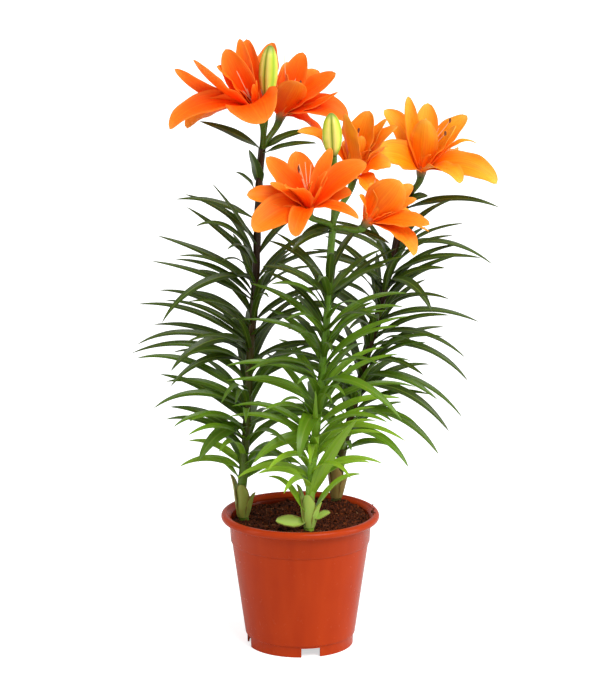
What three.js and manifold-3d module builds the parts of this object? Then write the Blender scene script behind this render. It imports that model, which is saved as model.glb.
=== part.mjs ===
// Potted double orange lily: three flowering stems grown from bulbs in one round plastic nursery pot.
// Millimetres, +Z up, and the plant is seen from -Y. Plant places are counted from the pot's axis.
// Run it with the npm packages three and manifold-3d; it exports one group of named solids.
import * as THREE from 'three';
import Module from 'manifold-3d';

const wasm = await Module();
wasm.setup();

// Pot: the widest ring, the height, and the round step that stiffens the upper wall.
const potAxisX = -15.5;
const potHeight = 146;
const rimRadius = 85;
const mouthRadius = 78.8;
const footRadius = 57;
const footHeight = 13;
const stepHeight = 114;
const stepRadius = 73.2;
const collarRadius = 75;
const underRimRadius = 76;
const underRimHeight = 135.6;
const wallThickness = 1.8;
const baseUnderside = 11.5;
const baseThickness = 2;
const potSides = 32;

// Rim: a rounded bead that stands out from the top of the wall.
const beadHeight = 8.6;
const beadFullest = 3.8;

// Foot: four notches let water run out from under the raised base, next to round drain holes.
const notchCount = 4;
const notchWidth = 20.4;
const notchHeight = 10;
const notchDepth = 8;
const frontNotchAngle = -78.4;
const drainHoleRadius = 4.5;
const drainHoleDistance = 40;
const drainHoleSides = 12;

// Soil: a nearly level surface that rises towards the stem at the back on the right.
const soilLevel = 136;
const soilRise = { perX: 0.03, perY: 0.02 };
const soilHeap = { x: 42, y: 54, height: 4.5, spread: 30 };
const soilLumps = 1.1;
const soilRings = [1, 0.82, 0.62, 0.4, 0.2];
const fitGap = 0.4;
const smallestDetail = 0.02;

// Bulbs sit low in the soil, one under each stem.
const bulbRadius = 21;
const bulbHeight = 36;
const bulbFloor = 27;
const bulbSides = 10;
const bulbScaleDepth = 1.3;
const bulbNeckHeight = 8;

// Stems are round and taper upwards, and a stem ends in a node that its flower stalks leave.
const stemFootRadius = 5.8;
const stemTopRadius = 3.9;
const stemTaperShare = 0.7;
const stemSides = 7;
const stemSteps = 11;
const stalkRadius = 3;
const stalkEndRadius = 4.2;
const stalkSides = 6;
const stalkSteps = 6;
const stalkBend = { start: 0.4, end: 0.35 };
const stalkLead = 6;
const jointGap = 0.35;

// Blades: how far the root stands off the stem's or blossom's axis, its share of the full width,
// where the blade is widest, how much its edges rise, how its width fades towards the tip, and how
// thick it is at the rib.
const leafForm = {
  rootReach: 1.5, rootShare: 0.55, widest: 0.34, cup: 0.2, fading: 2.4, roundness: 0.85, thickness: 1.5,
};
const petalForm = {
  rootReach: 2.5, rootShare: 0.22, widest: 0.58, cup: 0.3, fading: 4.2, roundness: 0.6, thickness: 1.4,
};
const scaleForm = {
  rootReach: 5, rootShare: 0.7, widest: 0.55, cup: 0.5, fading: 4, roundness: 0.6, thickness: 1.5,
};
const leafStations = [0, 0.25, 0.52, 0.8];
const petalStations = [0, 0.28, 0.58, 0.86];
const ribBend = 0.37;

// A blade's upper face turns to the front, towards the light, over the first part of its length.
const leafFace = 42;
const fullRollShare = 0.4;

// Blossoms have a small funnel-shaped core that the petals stand out of.
const blossomCoreHeight = 20;
const blossomCoreRadius = 8.2;
const blossomCoreSides = 8;
const petalRootHeight = 5;

// The three stems: points of the centreline from the bulb up, chosen by hand.
const stems = {
  left: {
    path: [
      [-37, 5, 65.6], [-61, 8, 136], [-61, 3, 192], [-57.5, 0, 236], [-53, 0, 324],
      [-48, 0, 378], [-45.5, 0, 443], [-43, 0, 507], [-40, 0, 541],
    ],
    leafZone: { low: 182, high: 452, count: 24 },
    seed: 11,
    firstTurn: 20,
  },
  middle: {
    path: [
      [4, -32, 65.6], [9.3, -36, 137], [11.4, -40, 192], [16.6, -41, 247], [22, -41, 301],
      [26, -41, 344], [29, -40, 387], [31, -40, 430], [34, -40, 466],
    ],
    leafZone: { low: 176, high: 412, count: 27 },
    seed: 23,
    firstTurn: 75,
  },
  right: {
    path: [
      [22, 30, 65.6], [39, 56, 143], [44, 51, 191], [51.6, 47, 225], [64.4, 45, 280],
      [76, 45, 324], [97, 45, 407], [111.5, 45, 472], [120, 45, 492],
    ],
    leafZone: { low: 192, high: 420, count: 26 },
    seed: 37,
    firstTurn: 140,
  },
};

// Blossoms: where each one sits on its stalk, the way it faces, and its petals from the outer whorl in.
// A petal is the offset of its tip from the blossom's base, its width, and how it bends: lift turns
// the rib's start up towards the blossom's axis, curl turns the rib's end outwards, and face turns
// the upper side to the front.
const blossoms = {
  bloom_left_outer: {
    base: [-44, -20, 582], facing: [-0.42, -0.3, 0.86], colour: 0xf7600c,
    petals: [
      [-86, -5, 47, 16, -15, -15, 40], [-65, -34, 61, 36, -8, -18, -15],
      [-91, -25, -13, 30, 45, 50, 15], [-74, 5, -17, 34, 50, 40, -55], [-33, -15, 69, 30, 6, 25, 20],
      [-19, 12, 76, 18, 8, 5, 30], [-12, 22, 74, 26, 10, 5, 10], [16, 52, 56, 24, -18, 30, 0],
      [8, -60, 0, 58, 74, 60, 12], [-42, -20, 52, 18, 0, 20, 30], [-18, -2, 41, 20, 8, 5, 20],
      [-28, 42, 47, 30, 25, 30, 0],
    ],
  },
  bloom_left_inner: {
    base: [-22, 12, 569], facing: [0.3, -0.1, 0.95], colour: 0xf7600c,
    petals: [
      [25, 5, 71, 28, 12, 5, 20], [59, -5, 51, 30, 15, 0, 40], [61, -20, 33, 14, -5, -12, 20],
      [71, -14, 2, 34, 45, 45, 35], [49, 14, -34, 24, 55, 35, 20], [19, -38, 47, 36, 25, -5, 0],
      [8, -12, 51, 18, 10, 5, 20], [-18, -4, 25, 18, 20, 25, 30], [11, 30, 57, 28, 15, 20, 0],
      [40, 35, 48, 28, 20, 25, 0], [50, 45, 9, 28, 40, 40, 0],
    ],
  },
  bloom_middle_front: {
    base: [9, -60, 484], facing: [-0.05, -0.42, 0.9], colour: 0xf9660f,
    petals: [
      [-44, -15, 61, 26, 20, 5, 30], [-14, 10, 63, 34, 10, -5, 0], [23, 12, 66, 18, 12, 5, 25],
      [59, -5, 53, 34, 20, 20, 25], [51, -30, 0, 14, 45, 40, 0], [-14, -50, -15, 24, 58, 62, 0],
      [-57, -40, -11, 38, 45, 30, 20], [-64, -15, 22, 26, 30, 15, 35], [18, -25, 48, 12, 5, 10, 20],
      [-40, -30, 37, 14, 15, 10, 20], [-23, -45, 35, 26, 22, 22, 0], [-10, 35, 36, 28, 25, 30, 0],
      [44, 0, 22, 24, 30, 25, 20],
    ],
  },
  bloom_middle_back: {
    base: [55, -10, 509], facing: [0.15, -0.05, 0.98], colour: 0xfa7a12,
    petals: [
      [-58, -14, 54, 14, 30, 50, 50], [-8, -15, 73, 34, 10, -10, 0], [17, 5, 73, 38, 8, 5, 0],
      [35, -5, 66, 18, 10, 10, 30], [46, -10, 59, 26, 15, 15, 30], [40, 2, 15, 30, 40, 40, 30],
      [17, -12, -12, 30, 62, 62, 0], [-3, 35, 36, 28, 25, 30, 0], [34, 33, 31, 26, 25, 30, 0],
      [9, -10, 49, 20, 5, 0, 0],
    ],
  },
  bloom_right: {
    base: [128, 45, 503], facing: [0.12, -0.08, 0.99], colour: 0xfb9a1c,
    petals: [
      [-14, -5, 87, 18, 5, -5, 65], [-39, 20, 68, 26, 15, 30, 40], [8, 25, 75, 30, 12, -5, 0],
      [4, -20, 65, 32, 12, -12, 0], [49, 10, 64, 30, 18, 12, 35], [36, -15, 57, 22, 15, -5, 30],
      [60, 15, 33, 9, 20, 60, 0], [-47, -30, 28, 38, 30, 30, 45], [80, -20, -4, 32, 45, 40, 30],
      [40, -45, 1, 30, 45, 45, 0], [-21, 45, 37, 30, 25, 30, 0], [38, 45, 20, 30, 35, 35, 0],
    ],
  },
  bloom_middle_side: {
    base: [66, -60, 470], facing: [0.55, -0.15, 0.82], colour: 0xf9760f,
    petals: [
      [36, -20, 52, 42, 20, -20, 0], [-5, -15, 36, 14, 25, 20, 30], [8, 15, 43, 20, 20, 10, 0],
      [54, 0, 29, 16, 10, 10, 30], [51, 20, 40, 20, 10, 15, 30], [67, -25, 7, 28, 20, 5, 30],
      [67, -5, -4, 10, 25, 20, 0], [51, -30, -25, 24, 40, 50, 20], [32, 30, 32, 28, 15, 25, 0],
      [53, 30, 6, 24, 30, 30, 0],
    ],
  },
};

// Buds stand on stalks of their own and have three shallow grooves between closed petals.
const budSides = 12;
const budGroove = 0.09;
const buds = {
  bud_left: { base: [-34, -18, 597], tip: [-31, -18, 652], radius: 10.2 },
  bud_middle: { base: [34, -40, 540], tip: [32, -40, 585], radius: 10.4 },
};

// Flower stalks: the stem, the height they leave it at, and the blossom or bud that they carry.
const stalks = [
  { stem: 'left', from: 538, to: 'bloom_left_outer' },
  { stem: 'left', from: 534, to: 'bloom_left_inner' },
  { stem: 'left', from: 540, to: 'bud_left' },
  { stem: 'middle', from: 460, to: 'bloom_middle_front' },
  { stem: 'middle', from: 464, to: 'bloom_middle_back' },
  { stem: 'middle', from: 458, to: 'bloom_middle_side' },
  { stem: 'middle', from: 465, to: 'bud_middle' },
  { stem: 'right', from: 474, to: 'bloom_right' },
];

// Leaves that stand out in the plant's outline: height of the root on the stem, tip, width, lift,
// droop, and for a few of them the angle of the face.
const markedLeaves = {
  left: [
    [541, -104, -30, 575, 14, 8, 8], [539, 13, -10, 562, 12, 22, 18], [536, 17, -35, 553, 10, 12, 12],
    [507, -53, -24, 544, 17, 14, 8], [492, -67, -20, 520, 12, 20, 20], [465, -130, -10, 489, 8, 15, 22],
    [420, -120, 20, 475, 8, 5, 8], [438, -91, -30, 509, 11, 4, 4], [420, -109, -35, 465, 9, 38, 55],
    [397, -150, 0, 448, 9, 12, 10], [378, -155, -25, 426, 8, 12, 12], [404, -145, -40, 363, 10, 38, 38],
    [345, -150, 20, 385, 8, 18, 25], [330, -173, 10, 372, 8, 22, 25], [318, -157, 40, 343, 9, 25, 22],
    [324, -172, -20, 335, 9, 22, 35], [308, -180, 25, 315, 9, 28, 28],
    [275, -173, -15, 319, 10, 18, 32], [330, -136, -45, 312, 13, 48, 40],
    [308, -136, -50, 297, 10, 50, 40], [247, -150, 20, 293, 11, 20, 20],
    [258, -155, -30, 268, 9, 38, 42], [225, -139, 0, 262, 11, 22, 25], [236, -134, -35, 249, 9, 45, 45],
    [241, -108, -25, 208, 17, 45, 35], [179, -100, -15, 208, 8, 20, 45],
  ],
  middle: [
    [464, 1, -50, 458, 12, 25, 20], [462, 93, -62, 452, 10, 22, 20], [460, -10, -75, 446, 10, 30, 25],
    [392, 91, -60, 430, 12, 15, 15], [392, -40, -60, 428, 11, 20, 25], [228, 16, -75, 299, 7, -15, -25],
    [172, 60, -80, 270, 16, 10, 12, -50], [262, -1, -105, 233, 19, 60, 60],
    [236, -49, -62, 217, 15, 45, 35], [152, -34, -50, 199, 10, 10, 45], [154, 64, -55, 203, 11, 15, 40],
    [300, 106, -85, 269, 12, 45, 30],
  ],
  right: [
    [468, 211, 40, 471, 10, 20, 25], [472, 135, 24, 486, 15, 25, 20, 62],
    [425, 206, 60, 405, 8, 35, 28], [395, 192, 30, 418, 9, 25, 22], [380, 154, 20, 409, 11, 25, 25],
    [390, 139, -10, 368, 13, 45, 40], [345, 191, 40, 346, 9, 28, 25], [330, 178, 60, 302, 9, 35, 28],
    [318, 179, 10, 288, 10, 38, 35], [300, 131, 0, 297, 9, 30, 25], [285, 147, 20, 265, 10, 32, 25],
    [285, 175, 50, 238, 9, 38, 30], [275, 159, 0, 235, 12, 35, 30], [247, 149, 20, 204, 12, 40, 32],
    [225, 116, 0, 195, 11, 35, 35],
  ],
};

// Pale scale leaves that hug the foot of each stem: the way they face, root height above the soil,
// length, lean away from the stem, width, and the angle of the face.
const footScales = [
  { turn: -100, rise: 4, length: 38, lean: 5, width: 16, face: 0 },
  { turn: -25, rise: 4, length: 30, lean: 16, width: 11, face: 0 },
  { turn: 170, rise: 5, length: 46, lean: 9, width: 14, face: 0 },
];
const soilLeaf = { turn: 187, rise: 8.5, length: 30, lean: 84, width: 13, face: 55 };
const curledScale = { turn: -12, rise: 13, length: 18, lean: 62, width: 9, face: 50 };
const scaleBend = { lift: -4, droop: 10, flare: 1 };

// Rule for the other leaves: a spiral of the golden angle, with sizes that change along the stem.
const goldenAngle = 137.508;
const leafReach = { low: 68, middle: 104, high: 88 };
const leafRise = { low: 14, high: 30 };
const leafLift = { low: 38, high: 24 };
const leafWidth = { low: 9.6, high: 7.6 };
const leafSpread = { height: 3, reach: 7, rise: 9, lift: 7, width: 1 };
const fullReachShare = 0.45;
const leafTries = [
  { turn: 0, rise: 0, reach: 1 }, { turn: 9, rise: 6, reach: 1 }, { turn: -9, rise: -6, reach: 1 },
  { turn: 18, rise: -8, reach: 1 }, { turn: -18, rise: 8, reach: 1 }, { turn: 28, rise: 14, reach: 0.92 },
  { turn: -28, rise: -12, reach: 0.92 }, { turn: 12, rise: 20, reach: 0.85 },
  { turn: -12, rise: 24, reach: 0.78 }, { turn: 36, rise: 4, reach: 0.85 },
  { turn: -36, rise: 10, reach: 0.78 }, { turn: 0, rise: 30, reach: 0.68 },
];

// Room that a new leaf keeps: to another stem's blades, to its own stem's blades past their crowded
// roots, to stems and buds, and to the pot's rim. Pieces are known by sample points this far apart.
const bladeGap = 3.4;
const ownBladeGap = 2.6;
const stemGap = 2.2;
const crowdedShare = 0.3;
const rimRoom = { above: 4, outside: 6, freeShare: 0.2 };
const sampleSpacing = 2.6;
const samplesAlong = { stem: 185, stalk: 24, bud: 22 };
const farthestGap = 13;

const up = new THREE.Vector3(0, 0, 1);
const radians = Math.PI / 180;
const vector = (values) => new THREE.Vector3(...values);
const mix = (a, b, share) => a + (b - a) * share;
const ease = (t) => Math.sin(Math.min(Math.max(t, 0), 1) * Math.PI / 2);

// A small generator of even random numbers from 0 to 1, the same on every run.
function makeRandom(seed) {
  let state = seed;
  return () => {
    state = (state * 1664525 + 1013904223) % 4294967296;
    return state / 4294967296;
  };
}

// Collects vertices and triangles of one closed body.
class Shell {
  constructor() {
    this.positions = [];
    this.triangles = [];
  }

  point(p) {
    this.positions.push(p.x, p.y, p.z);
    return this.positions.length / 3 - 1;
  }

  triangle(a, b, c) {
    if (a !== b && b !== c && c !== a) {
      this.triangles.push(a, b, c);
    }
  }

  // Joins a run of rings, each drawn anticlockwise about the way forward.
  band(rows) {
    const count = rows[0].length;
    for (let i = 0; i + 1 < rows.length; i += 1) {
      for (let k = 0; k < count; k += 1) {
        const next = (k + 1) % count;
        this.triangle(rows[i][k], rows[i][next], rows[i + 1][next]);
        this.triangle(rows[i][k], rows[i + 1][next], rows[i + 1][k]);
      }
    }
  }

  geometry() {
    const result = new THREE.BufferGeometry();
    result.setAttribute('position', new THREE.Float32BufferAttribute(this.positions, 3));
    result.setIndex(this.triangles);
    return result;
  }
}

// A run of rings, closed at both ends.
function loft(rings) {
  const shell = new Shell();
  const rows = rings.map((ring) => ring.map((p) => shell.point(p)));
  shell.band(rows);
  const last = rows[rows.length - 1];
  for (let k = 1; k + 1 < last.length; k += 1) {
    shell.triangle(rows[0][0], rows[0][k + 1], rows[0][k]);
    shell.triangle(last[0], last[k], last[k + 1]);
  }
  return shell.geometry();
}

// A closed body turned about the pot's axis, from an outline of radius and height that starts and
// ends on the axis. A height may depend on the place.
function turnedAboutPotAxis(outline) {
  const shell = new Shell();
  const pointAt = (radius, height, angle) => {
    const x = radius * Math.cos(angle);
    const y = radius * Math.sin(angle);
    return shell.point(new THREE.Vector3(x, y, typeof height === 'function' ? height(x, y) : height));
  };
  shell.band(outline.map(([radius, height]) => {
    const sides = { length: potSides };
    if (radius === 0) {
      const centre = pointAt(0, height, 0);
      return Array.from(sides, () => centre);
    }
    return Array.from(sides, (_, k) => pointAt(radius, height, 2 * Math.PI * k / potSides));
  }));
  return shell.geometry();
}

// A ring of points about a centre, square to the given way.
function ringAt(centre, way, radius, sides, shape = () => 1) {
  const across = new THREE.Vector3(0, 1, 0).cross(way).normalize();
  const along = way.clone().cross(across).normalize();
  return Array.from({ length: sides }, (_, k) => {
    const angle = 2 * Math.PI * k / sides;
    const reach = radius * shape(angle);
    return centre.clone()
      .addScaledVector(across, reach * Math.cos(angle))
      .addScaledVector(along, reach * Math.sin(angle));
  });
}

// A round body along a straight axis, from pairs of share along the axis and radius.
function turnedBody(base, axis, length, profile, sides, shape) {
  return loft(profile.map(([share, radius]) => (
    ringAt(base.clone().addScaledVector(axis, share * length), axis, radius, sides, shape)
  )));
}

// A tube along a curve, with its radius given for each share of the way.
function tube(curve, radiusAt, sides, steps) {
  return loft(Array.from({ length: steps + 1 }, (_, i) => {
    const share = i / steps;
    return ringAt(curve.getPoint(share), curve.getTangent(share), radiusAt(share), sides);
  }));
}

// Solids and the way back to a geometry.
function solidOf(geometry) {
  const vertProperties = new Float32Array(geometry.attributes.position.array);
  const triVerts = new Uint32Array(geometry.index.array);
  return new wasm.Manifold(new wasm.Mesh({ numProp: 3, vertProperties, triVerts }));
}

function geometryOf(solid) {
  const mesh = solid.getMesh();
  const result = new THREE.BufferGeometry();
  result.setAttribute('position', new THREE.Float32BufferAttribute(mesh.vertProperties, 3));
  result.setIndex(Array.from(mesh.triVerts));
  return result;
}

// Fuses parts into one body. Specks and sealed bubbles that fusing leaves are dropped.
function fuse(geometries) {
  const joined = wasm.Manifold.union(geometries.map(solidOf)).simplify(smallestDetail);
  const bodies = joined.decompose();
  return bodies.reduce((best, body) => (body.volume() > best.volume() ? body : best));
}

// A leaf or petal: its rib is a cubic curve from root to tip in the plane of the given axis,
// and its blade is a thin shell whose edges rise towards the axis.
class Blade {
  constructor({ form, foot, tip, axis, lift, droop, width, face }) {
    const outwards = tip.clone().sub(foot);
    outwards.addScaledVector(axis, -outwards.dot(axis)).normalize();
    const root = foot.clone().addScaledVector(outwards, form.rootReach);
    const chord = tip.clone().sub(root);
    const reach = chord.length();
    const fall = Math.atan2(chord.dot(outwards), chord.dot(axis));
    const heading = (angle) => axis.clone().multiplyScalar(Math.cos(angle))
      .addScaledVector(outwards, Math.sin(angle));
    const first = root.clone().addScaledVector(heading(fall - lift * radians), ribBend * reach);
    const second = tip.clone().addScaledVector(heading(fall + droop * radians), -ribBend * reach);
    this.rib = new THREE.CubicBezierCurve3(root, first, second, tip);
    this.side = axis.clone().cross(outwards).normalize();
    this.roll = face * radians * this.side.y;
    Object.assign(this, { form, reach, width });
  }

  halfWidth(share) {
    const { rootShare, widest, fading, roundness } = this.form;
    const opening = mix(rootShare, 1, ease(share / widest));
    return 0.5 * this.width * opening * Math.pow(1 - Math.pow(share, fading), roundness);
  }

  // The point at a share of the length and a share of the half width, off the middle of the blade.
  surface(share, across, offset) {
    const tangent = this.rib.getTangent(share);
    const level = tangent.clone().cross(this.side).normalize();
    const turn = this.roll * ease(share / fullRollShare);
    const side = this.side.clone().multiplyScalar(Math.cos(turn)).addScaledVector(level, Math.sin(turn));
    const normal = level.multiplyScalar(Math.cos(turn)).addScaledVector(this.side, -Math.sin(turn));
    const half = this.halfWidth(share);
    return this.rib.getPoint(share)
      .addScaledVector(side, across * half)
      .addScaledVector(normal, this.form.cup * half * across * across + offset);
  }

  // A petal is hollowed along its rib. A leaf is flat above and has a keel below.
  geometry(stations, hollowed) {
    const { thickness } = this.form;
    const shell = new Shell();
    const above = [];
    const below = [];
    for (const share of stations) {
      const left = shell.point(this.surface(share, -1, 0));
      const right = shell.point(this.surface(share, 1, 0));
      const keel = shell.point(this.surface(share, 0, hollowed ? -thickness / 2 : -thickness));
      const rib = hollowed ? [shell.point(this.surface(share, 0, thickness / 2))] : [];
      above.push([left, ...rib, right]);
      below.push([left, keel, right]);
    }
    const tip = shell.point(this.rib.getPoint(1));
    const last = stations.length - 1;
    for (const [rows, flip] of [[above, false], [below, true]]) {
      const face = (a, b, c) => (flip ? shell.triangle(a, c, b) : shell.triangle(a, b, c));
      for (let j = 0; j + 1 < rows[0].length; j += 1) {
        for (let i = 0; i < last; i += 1) {
          face(rows[i][j], rows[i + 1][j], rows[i + 1][j + 1]);
          face(rows[i][j], rows[i + 1][j + 1], rows[i][j + 1]);
        }
        face(rows[last][j], tip, rows[last][j + 1]);
      }
    }
    const [left, keel, right] = below[0];
    if (hollowed) {
      shell.triangle(left, above[0][1], keel);
      shell.triangle(above[0][1], right, keel);
    } else {
      shell.triangle(left, right, keel);
    }
    return shell.geometry();
  }

  // Sample points over the blade, each with its share of the length, for keeping blades apart.
  samples(spacing) {
    const rows = Math.ceil(this.reach / spacing);
    const half = Math.ceil(this.width / spacing / 2);
    const points = [];
    for (let i = 0; i <= rows; i += 1) {
      for (let j = -half; j <= half; j += 1) {
        const point = this.surface(i / rows, j / half, 0);
        points.push({ point, share: i / rows, pad: 0 });
      }
    }
    return points;
  }
}

function makeLeaf(foot, tip, width, lift, droop, face = leafFace, form = leafForm) {
  return new Blade({ form, foot, tip, axis: up, lift, droop, width, face });
}

// Pot: the wall is turned from one closed outline, then the notches and drain holes are cut.
function innerRadius(z) {
  const collarFoot = stepHeight + 2;
  if (z > collarFoot) {
    const share = (z - collarFoot) / (underRimHeight - stepHeight);
    return mix(collarRadius, underRimRadius, share) - wallThickness;
  }
  const share = (z - footHeight) / (stepHeight - footHeight);
  return mix(footRadius + 2, stepRadius, share) - wallThickness;
}

function makePot() {
  const floor = baseUnderside + baseThickness;
  const outline = [
    [0, baseUnderside], [footRadius - 2, baseUnderside], [footRadius - 2, 0], [footRadius, 0],
    [footRadius + 0.4, footHeight - 1], [footRadius + 2.2, footHeight + 2],
    [stepRadius, stepHeight], [collarRadius, stepHeight + 2.2], [underRimRadius, underRimHeight],
    [rimRadius - 5, potHeight - beadHeight], [rimRadius - 1.2, potHeight - 6.4],
    [rimRadius, potHeight - beadFullest],
    [rimRadius - 0.5, potHeight - 1.4], [rimRadius - 2.2, potHeight], [mouthRadius, potHeight],
    [innerRadius(potHeight - 8) + 0.6, potHeight - 8], [innerRadius(stepHeight + 2.5), stepHeight + 2.5],
    [innerRadius(stepHeight - 0.5), stepHeight - 0.5], [innerRadius(floor + 2), floor + 2],
    [innerRadius(floor) - 1.2, floor], [0, floor],
  ];
  let pot = solidOf(turnedAboutPotAxis(outline));
  for (let n = 0; n < notchCount; n += 1) {
    const angle = (frontNotchAngle + n * 360 / notchCount) * radians;
    const notch = new THREE.BoxGeometry(notchDepth, notchWidth, 2 * notchHeight);
    notch.translate(footRadius, 0, 0);
    notch.rotateZ(angle);
    const holeDepth = 4 * baseThickness;
    const hole = new THREE.CylinderGeometry(drainHoleRadius, drainHoleRadius, holeDepth, drainHoleSides);
    hole.rotateX(Math.PI / 2);
    hole.translate(drainHoleDistance, 0, floor - baseThickness / 2);
    hole.rotateZ(angle);
    pot = pot.subtract(solidOf(welded(notch))).subtract(solidOf(welded(hole)));
  }
  return geometryOf(pot);
}

// Merges the vertices that a box or cylinder repeats at its edges.
function welded(geometry) {
  const shell = new Shell();
  const known = new Map();
  const source = geometry.attributes.position;
  const indexOf = (i) => {
    const p = new THREE.Vector3().fromBufferAttribute(source, i);
    const key = p.toArray().map((value) => Math.round(value * 1000)).join(' ');
    if (!known.has(key)) {
      known.set(key, shell.point(p));
    }
    return known.get(key);
  };
  const index = geometry.index.array;
  for (let i = 0; i < index.length; i += 3) {
    shell.triangle(indexOf(index[i]), indexOf(index[i + 1]), indexOf(index[i + 2]));
  }
  return shell.geometry();
}

// Soil height over the pot's mouth: a level, a gentle rise, a heap and small lumps.
function soilHeight(x, y) {
  const heapX = (x - soilHeap.x) / soilHeap.spread;
  const heapY = (y - soilHeap.y) / soilHeap.spread;
  const heap = soilHeap.height * Math.exp(-heapX * heapX - heapY * heapY);
  const lumps = Math.sin(0.19 * x + 1.3) * Math.cos(0.16 * y - 0.4) + 0.6 * Math.sin(0.31 * x - 0.27 * y);
  return soilLevel + soilRise.perX * x + soilRise.perY * y + heap + soilLumps * lumps;
}

function bulbGeometry(base, swell) {
  const profile = [
    [0, 8], [0.12, 15], [0.35, 20.4], [0.55, bulbRadius], [0.75, 16.5], [0.9, 9.5], [1, 6.6],
  ];
  const shape = (angle) => 1 - (swell ? 0 : bulbScaleDepth / bulbRadius * Math.abs(Math.sin(4 * angle)));
  const grown = profile.map(([share, radius]) => [share, radius + swell]);
  const low = base.clone().addScaledVector(up, -swell);
  return turnedBody(low, up, bulbHeight + 2 * swell, grown, bulbSides, shape);
}

function bulbBase(name) {
  const [x, y] = stems[name].path[0];
  return new THREE.Vector3(x, y, bulbFloor);
}

function makeSoil() {
  const floor = baseUnderside + baseThickness + fitGap;
  const surfaceRadius = innerRadius(soilLevel) - fitGap;
  const outline = [
    [0, floor], [innerRadius(floor) - wallThickness, floor],
    [innerRadius(stepHeight - 0.5) - fitGap, stepHeight - 0.5],
    [innerRadius(stepHeight + 2.6) - fitGap, stepHeight + 2.6],
    ...soilRings.map((share) => [share * surfaceRadius, soilHeight]), [0, soilHeight],
  ];
  let soil = solidOf(turnedAboutPotAxis(outline));
  for (const name of Object.keys(stems)) {
    const hole = tube(stemCurves[name], (share) => stemRadius(share) + fitGap, stemSides, stemSteps);
    const neck = bulbBase(name).addScaledVector(up, bulbHeight - bulbNeckHeight / 2);
    const neckProfile = [[0, stemFootRadius], [1, stemFootRadius]];
    const neckHole = turnedBody(neck, up, bulbNeckHeight, neckProfile, stemSides);
    const bulbHollow = bulbGeometry(bulbBase(name), fitGap);
    for (const part of [hole, neckHole, bulbHollow]) {
      soil = soil.subtract(solidOf(part));
    }
  }
  return geometryOf(soil.simplify(smallestDetail));
}

// Stems.
const stemCurves = {};
for (const [name, stem] of Object.entries(stems)) {
  stemCurves[name] = new THREE.CatmullRomCurve3(stem.path.map(vector), false, 'catmullrom', 0.5);
}

function stemRadius(share) {
  return mix(stemFootRadius, stemTopRadius, ease(share / stemTaperShare));
}

// The share of the way along a stem where it reaches a height.
function shareAtHeight(name, height) {
  let low = 0;
  let high = 1;
  for (let i = 0; i < 30; i += 1) {
    const middle = (low + high) / 2;
    if (stemCurves[name].getPoint(middle).z < height) {
      low = middle;
    } else {
      high = middle;
    }
  }
  return low;
}

// A stalk leaves its stem along it and bends into line with the blossom or bud that it carries.
function makeStalk({ stem, from, to }) {
  const start = stemCurves[stem].getPoint(shareAtHeight(stem, from));
  const before = stemCurves[stem].getPoint(shareAtHeight(stem, from - stalkLead));
  const onwards = start.clone().sub(before).normalize();
  const carried = blossoms[to] ?? buds[to];
  const base = vector(carried.base);
  const facing = carried.facing ? vector(carried.facing) : vector(carried.tip).sub(base);
  facing.normalize();
  const end = base.clone().addScaledVector(facing, -jointGap);
  const span = start.distanceTo(end);
  const first = start.clone().addScaledVector(onwards, stalkBend.start * span);
  const second = end.clone().addScaledVector(facing, -stalkBend.end * span);
  return new THREE.CubicBezierCurve3(start, first, second, end);
}

function stalkRadiusAt(share) {
  return mix(stalkRadius, stalkEndRadius, Math.pow(share, 4));
}

// Blossoms: petals about a small core, fused into one body.
function petalsOf({ base, facing, petals }) {
  const axis = vector(facing).normalize();
  const foot = vector(base).addScaledVector(axis, petalRootHeight);
  return petals.map(([x, y, z, width, lift, curl, face]) => {
    const tip = vector(base).add(new THREE.Vector3(x, y, z));
    return new Blade({ form: petalForm, foot, tip, axis, lift, droop: curl, width, face });
  });
}

function makeBlossom(blossom) {
  const axis = vector(blossom.facing).normalize();
  const profile = [[0, 4.2], [0.35, blossomCoreRadius], [0.75, 5], [1, 1.6]];
  const core = turnedBody(vector(blossom.base), axis, blossomCoreHeight, profile, blossomCoreSides);
  const petals = petalsOf(blossom).map((petal) => petal.geometry(petalStations, true));
  return geometryOf(fuse([core, ...petals]));
}

// Buds: a rounded spindle, grooved along its length.
function makeBud({ base, tip, radius }) {
  const axis = vector(tip).sub(vector(base));
  const length = axis.length();
  axis.normalize();
  const profile = [
    [0, 0.36], [0.07, 0.55], [0.22, 0.84], [0.42, 1], [0.62, 0.97], [0.8, 0.8], [0.93, 0.55], [1, 0.26],
  ].map(([share, size]) => [share, size * radius]);
  const groove = (angle) => 1 - budGroove * Math.pow(Math.abs(Math.cos(1.5 * angle)), 6);
  return turnedBody(vector(base), axis, length, profile, budSides, groove);
}

// Keeping blades apart: every placed piece is known by sample points with a radius about each.
const placed = [];

function place(owner, points) {
  const box = new THREE.Box3().setFromPoints(points.map(({ point }) => point));
  placed.push({ owner, points, box });
}

function isClear(owner, points) {
  const box = new THREE.Box3().setFromPoints(points.map(({ point }) => point));
  box.expandByScalar(farthestGap);
  for (const other of placed) {
    if (!box.intersectsBox(other.box)) {
      continue;
    }
    const own = other.owner === owner;
    for (const a of points) {
      if (own && a.share < crowdedShare) {
        continue;
      }
      for (const b of other.points) {
        if (own && b.share < crowdedShare) {
          continue;
        }
        const bare = own ? ownBladeGap : bladeGap;
        const gap = b.pad > 0 ? b.pad + stemGap : bare;
        if (a.point.distanceToSquared(b.point) < gap * gap) {
          return false;
        }
      }
    }
  }
  return true;
}

function clearOfPot(points) {
  return points.every(({ point, share }) => (
    share < rimRoom.freeShare
    || point.z > potHeight + rimRoom.above
    || Math.hypot(point.x, point.y) > rimRadius + rimRoom.outside
  ));
}

// Sample points along a tube, for the stems, the stalks and the buds.
function curveSamples(curve, radiusAt, count) {
  return Array.from({ length: count + 1 }, (_, i) => (
    { point: curve.getPoint(i / count), share: 0, pad: radiusAt(i / count) }
  ));
}

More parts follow.
